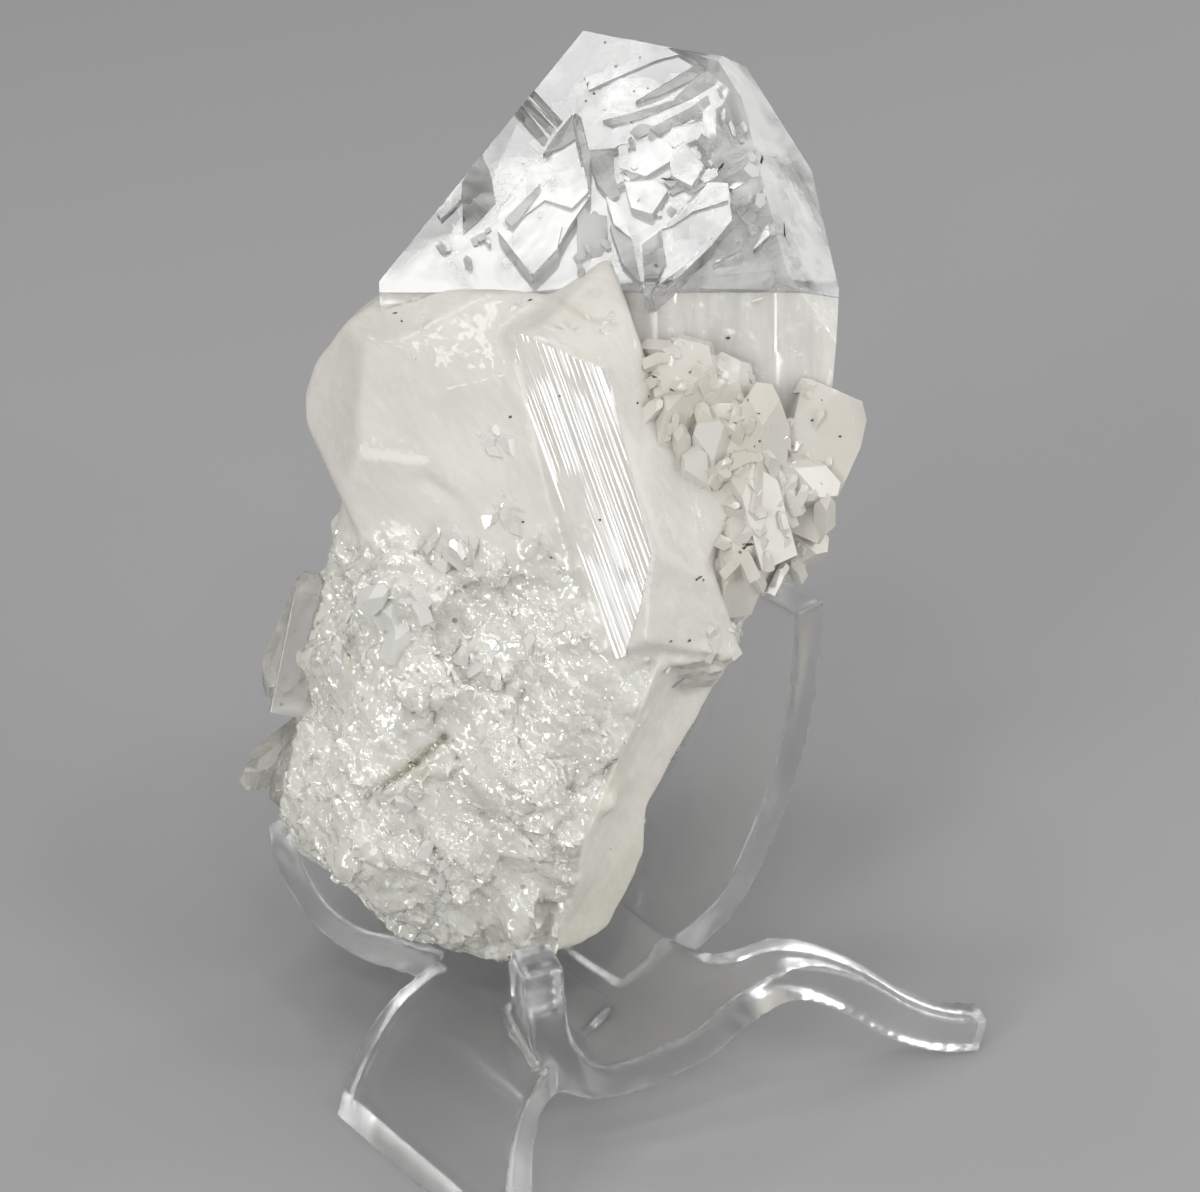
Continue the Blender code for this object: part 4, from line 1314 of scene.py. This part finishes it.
def floor():
    bpy.ops.mesh.primitive_plane_add(size=6, location=(0, 1.2, 0))
    ground = bpy.context.object
    ground.name = "floor"
    s = Surface("pale_floor")
    s.put({"Base Color": (0.36, 0.36, 0.365), "Roughness": 0.9})
    ground.data.materials.append(s.material)


def softbox(name, place, target, size, radiance):
    """Rectangular soft light that looks at a point; power follows from its radiance."""
    lamp = bpy.data.lights.new(name, "AREA")
    lamp.shape = "RECTANGLE"
    lamp.size, lamp.size_y = size
    lamp.energy = radiance * size[0] * size[1] * math.pi
    holder = bpy.data.objects.new(name, lamp)
    holder.location = place
    look = Vector(target) - Vector(place)
    holder.rotation_euler = look.to_track_quat("-Z", "Y").to_euler()
    link(holder)


# Where the lights look: the crown's front face and the striated face, in metres
CROWN_FACE = Vector((-0.007, 0.030, 0.086))
RIDGED_FACE = Vector((-0.004, 0, 0.061))

# Soft lights: place and size in metres, radiance and what they look at
SOFT_LIGHTS = {
    "overhead": ((-0.112, 0.066, 0.98), (0.16, 0.16), 9.5, CROWN_FACE),
    "low_left": ((-0.503, -0.692, 0.347), (0.28, 0.42), 9, RIDGED_FACE),
    "right_back": ((0.70, 0.55, 0.29), (0.6, 0.6), 1.1, CROWN_FACE),
    "right_fill": ((1.05, -0.35, 0.42), (0.9, 0.8), 2.9, RIDGED_FACE),
}

# Small lights that glint in the stone's facets: turn to the right and height, in degrees
GLINTS = [
    (48, 38), (-30, 62), (20, 74), (-75, 45), (85, 62), (-140, 55), (150, 40), (-12, 28), (18, 46),
    (110, 20), (-105, 70), (-50, 20)]
GLINT_AWAY = 0.9
GLINT_SIZE = 0.085
GLINT_RADIANCE = 18

# Even light from all around
DAYLIGHT = (1, 0.99, 0.975, 1)
DAYLIGHT_STRENGTH = 0.385


def lights():
    """Bright even surroundings, with soft lights that the flat faces mirror."""
    for name, (place, size, radiance, target) in SOFT_LIGHTS.items():
        softbox(name, place, target, size, radiance)
    for index, (turn, height) in enumerate(GLINTS):
        turn = math.radians(turn)
        height = math.radians(height)
        way = Vector((math.sin(turn) * math.cos(height), -math.cos(turn) * math.cos(height),
                      math.sin(height)))
        softbox(f"glint_{index}", RIDGED_FACE + way * GLINT_AWAY, RIDGED_FACE, (GLINT_SIZE, GLINT_SIZE),
                GLINT_RADIANCE)
    world = bpy.data.worlds.new("studio")
    world.use_nodes = True
    world.node_tree.nodes["Background"].inputs["Color"].default_value = DAYLIGHT
    world.node_tree.nodes["Background"].inputs["Strength"].default_value = DAYLIGHT_STRENGTH
    bpy.context.scene.world = world


def camera():
    """The photograph's viewpoint."""
    lens = bpy.data.cameras.new("photo_view")
    lens.lens = lens.sensor_width * FOCAL / PHOTO_WIDTH
    lens.clip_start = 0.01
    holder = bpy.data.objects.new("photo_view", lens)
    holder.location = PLACING @ EYE
    holder.rotation_euler = Euler((math.radians(90 - CLUSTER_LEAN), 0, 0))
    link(holder)
    bpy.context.scene.camera = holder


def dress(piece, surface, node):
    """Give a piece its material, and tie it to the part."""
    piece.data.materials.clear()
    piece.data.materials.append(surface)
    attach(piece, "root")
    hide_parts(node)


def main():
    scene = bpy.context.scene
    scene.view_settings.view_transform = "Standard"
    scene.view_settings.exposure = -0.25
    scene.cycles.max_bounces = 24
    scene.cycles.diffuse_bounces = 2
    scene.cycles.glossy_bounces = 16
    scene.cycles.transmission_bounces = 24
    glass = glassy_material("glassy_crystal", (0.985, 0.985, 0.975), 0.015, (0.55, 0.97), 0.9)
    clear = glassy_material("small_clear", (0.95, 0.935, 0.89), 0.03, (0.45, 0.85), 0.6)
    pale = milky_material("pale_base", (0.58, 0.57, 0.53), (0.65, 0.64, 0.605), 0.15, speck=0.5,
                          coat=0.35, sparkle=0.25, spread=0.8, grain=(0, 1, 0))
    core = milky_material("cloudy_core", (0.95, 0.955, 0.945), (0.98, 0.98, 0.975), 0.15)
    beige = milky_material("beige_crystal", (0.85, 0.81, 0.715), (0.965, 0.945, 0.89), 0.05, 0.32, 0.9,
                           coat=0.35, sparkle=0.12)
    bits = milky_material("frosting", (0.78, 0.78, 0.715), (0.91, 0.91, 0.855), 0.04, 0, 0.4,
                          specular=1)
    fine = milky_material("druse_crystal", (0.86, 0.85, 0.79), (0.96, 0.955, 0.91), 0.04, 0.28, 0.4,
                          specular=1)
    dark = grain_material("dark_grain", (0.035, 0.028, 0.02), (0.09, 0.07, 0.045))
    gold = grain_material("gold_grain", (0.13, 0.085, 0.03), (0.36, 0.27, 0.12))
    cluster = "apophyllite_cluster"
    body = fused_body()
    pieces = [(crown(), glass), (crown_core(), core), (crown_base(), pale),
              (striated_face(), ridged_material()), (body, body_material()),
              (right_cluster(), beige), (outer_crystals(), clear)]
    trees = [seen_tree(piece) for piece, surface in pieces]
    pieces += [(frosting(body), bits), (druses(seen_tree(body)), fine),
               (grains("dark_grains", DARK_GRAINS, trees, GRAIN_LIFT, 500), dark),
               (grains("gold_grains", GOLD_GRAINS, trees, GRAIN_LIFT, 530), gold),
               (grains("white_needles", WHITE_NEEDLES, trees, 0, 560), bits)]
    for piece, surface in pieces:
        dress(piece, surface, cluster)
    dress(stand(), acrylic_material(), "display_stand")
    floor()
    lights()
    camera()


main()
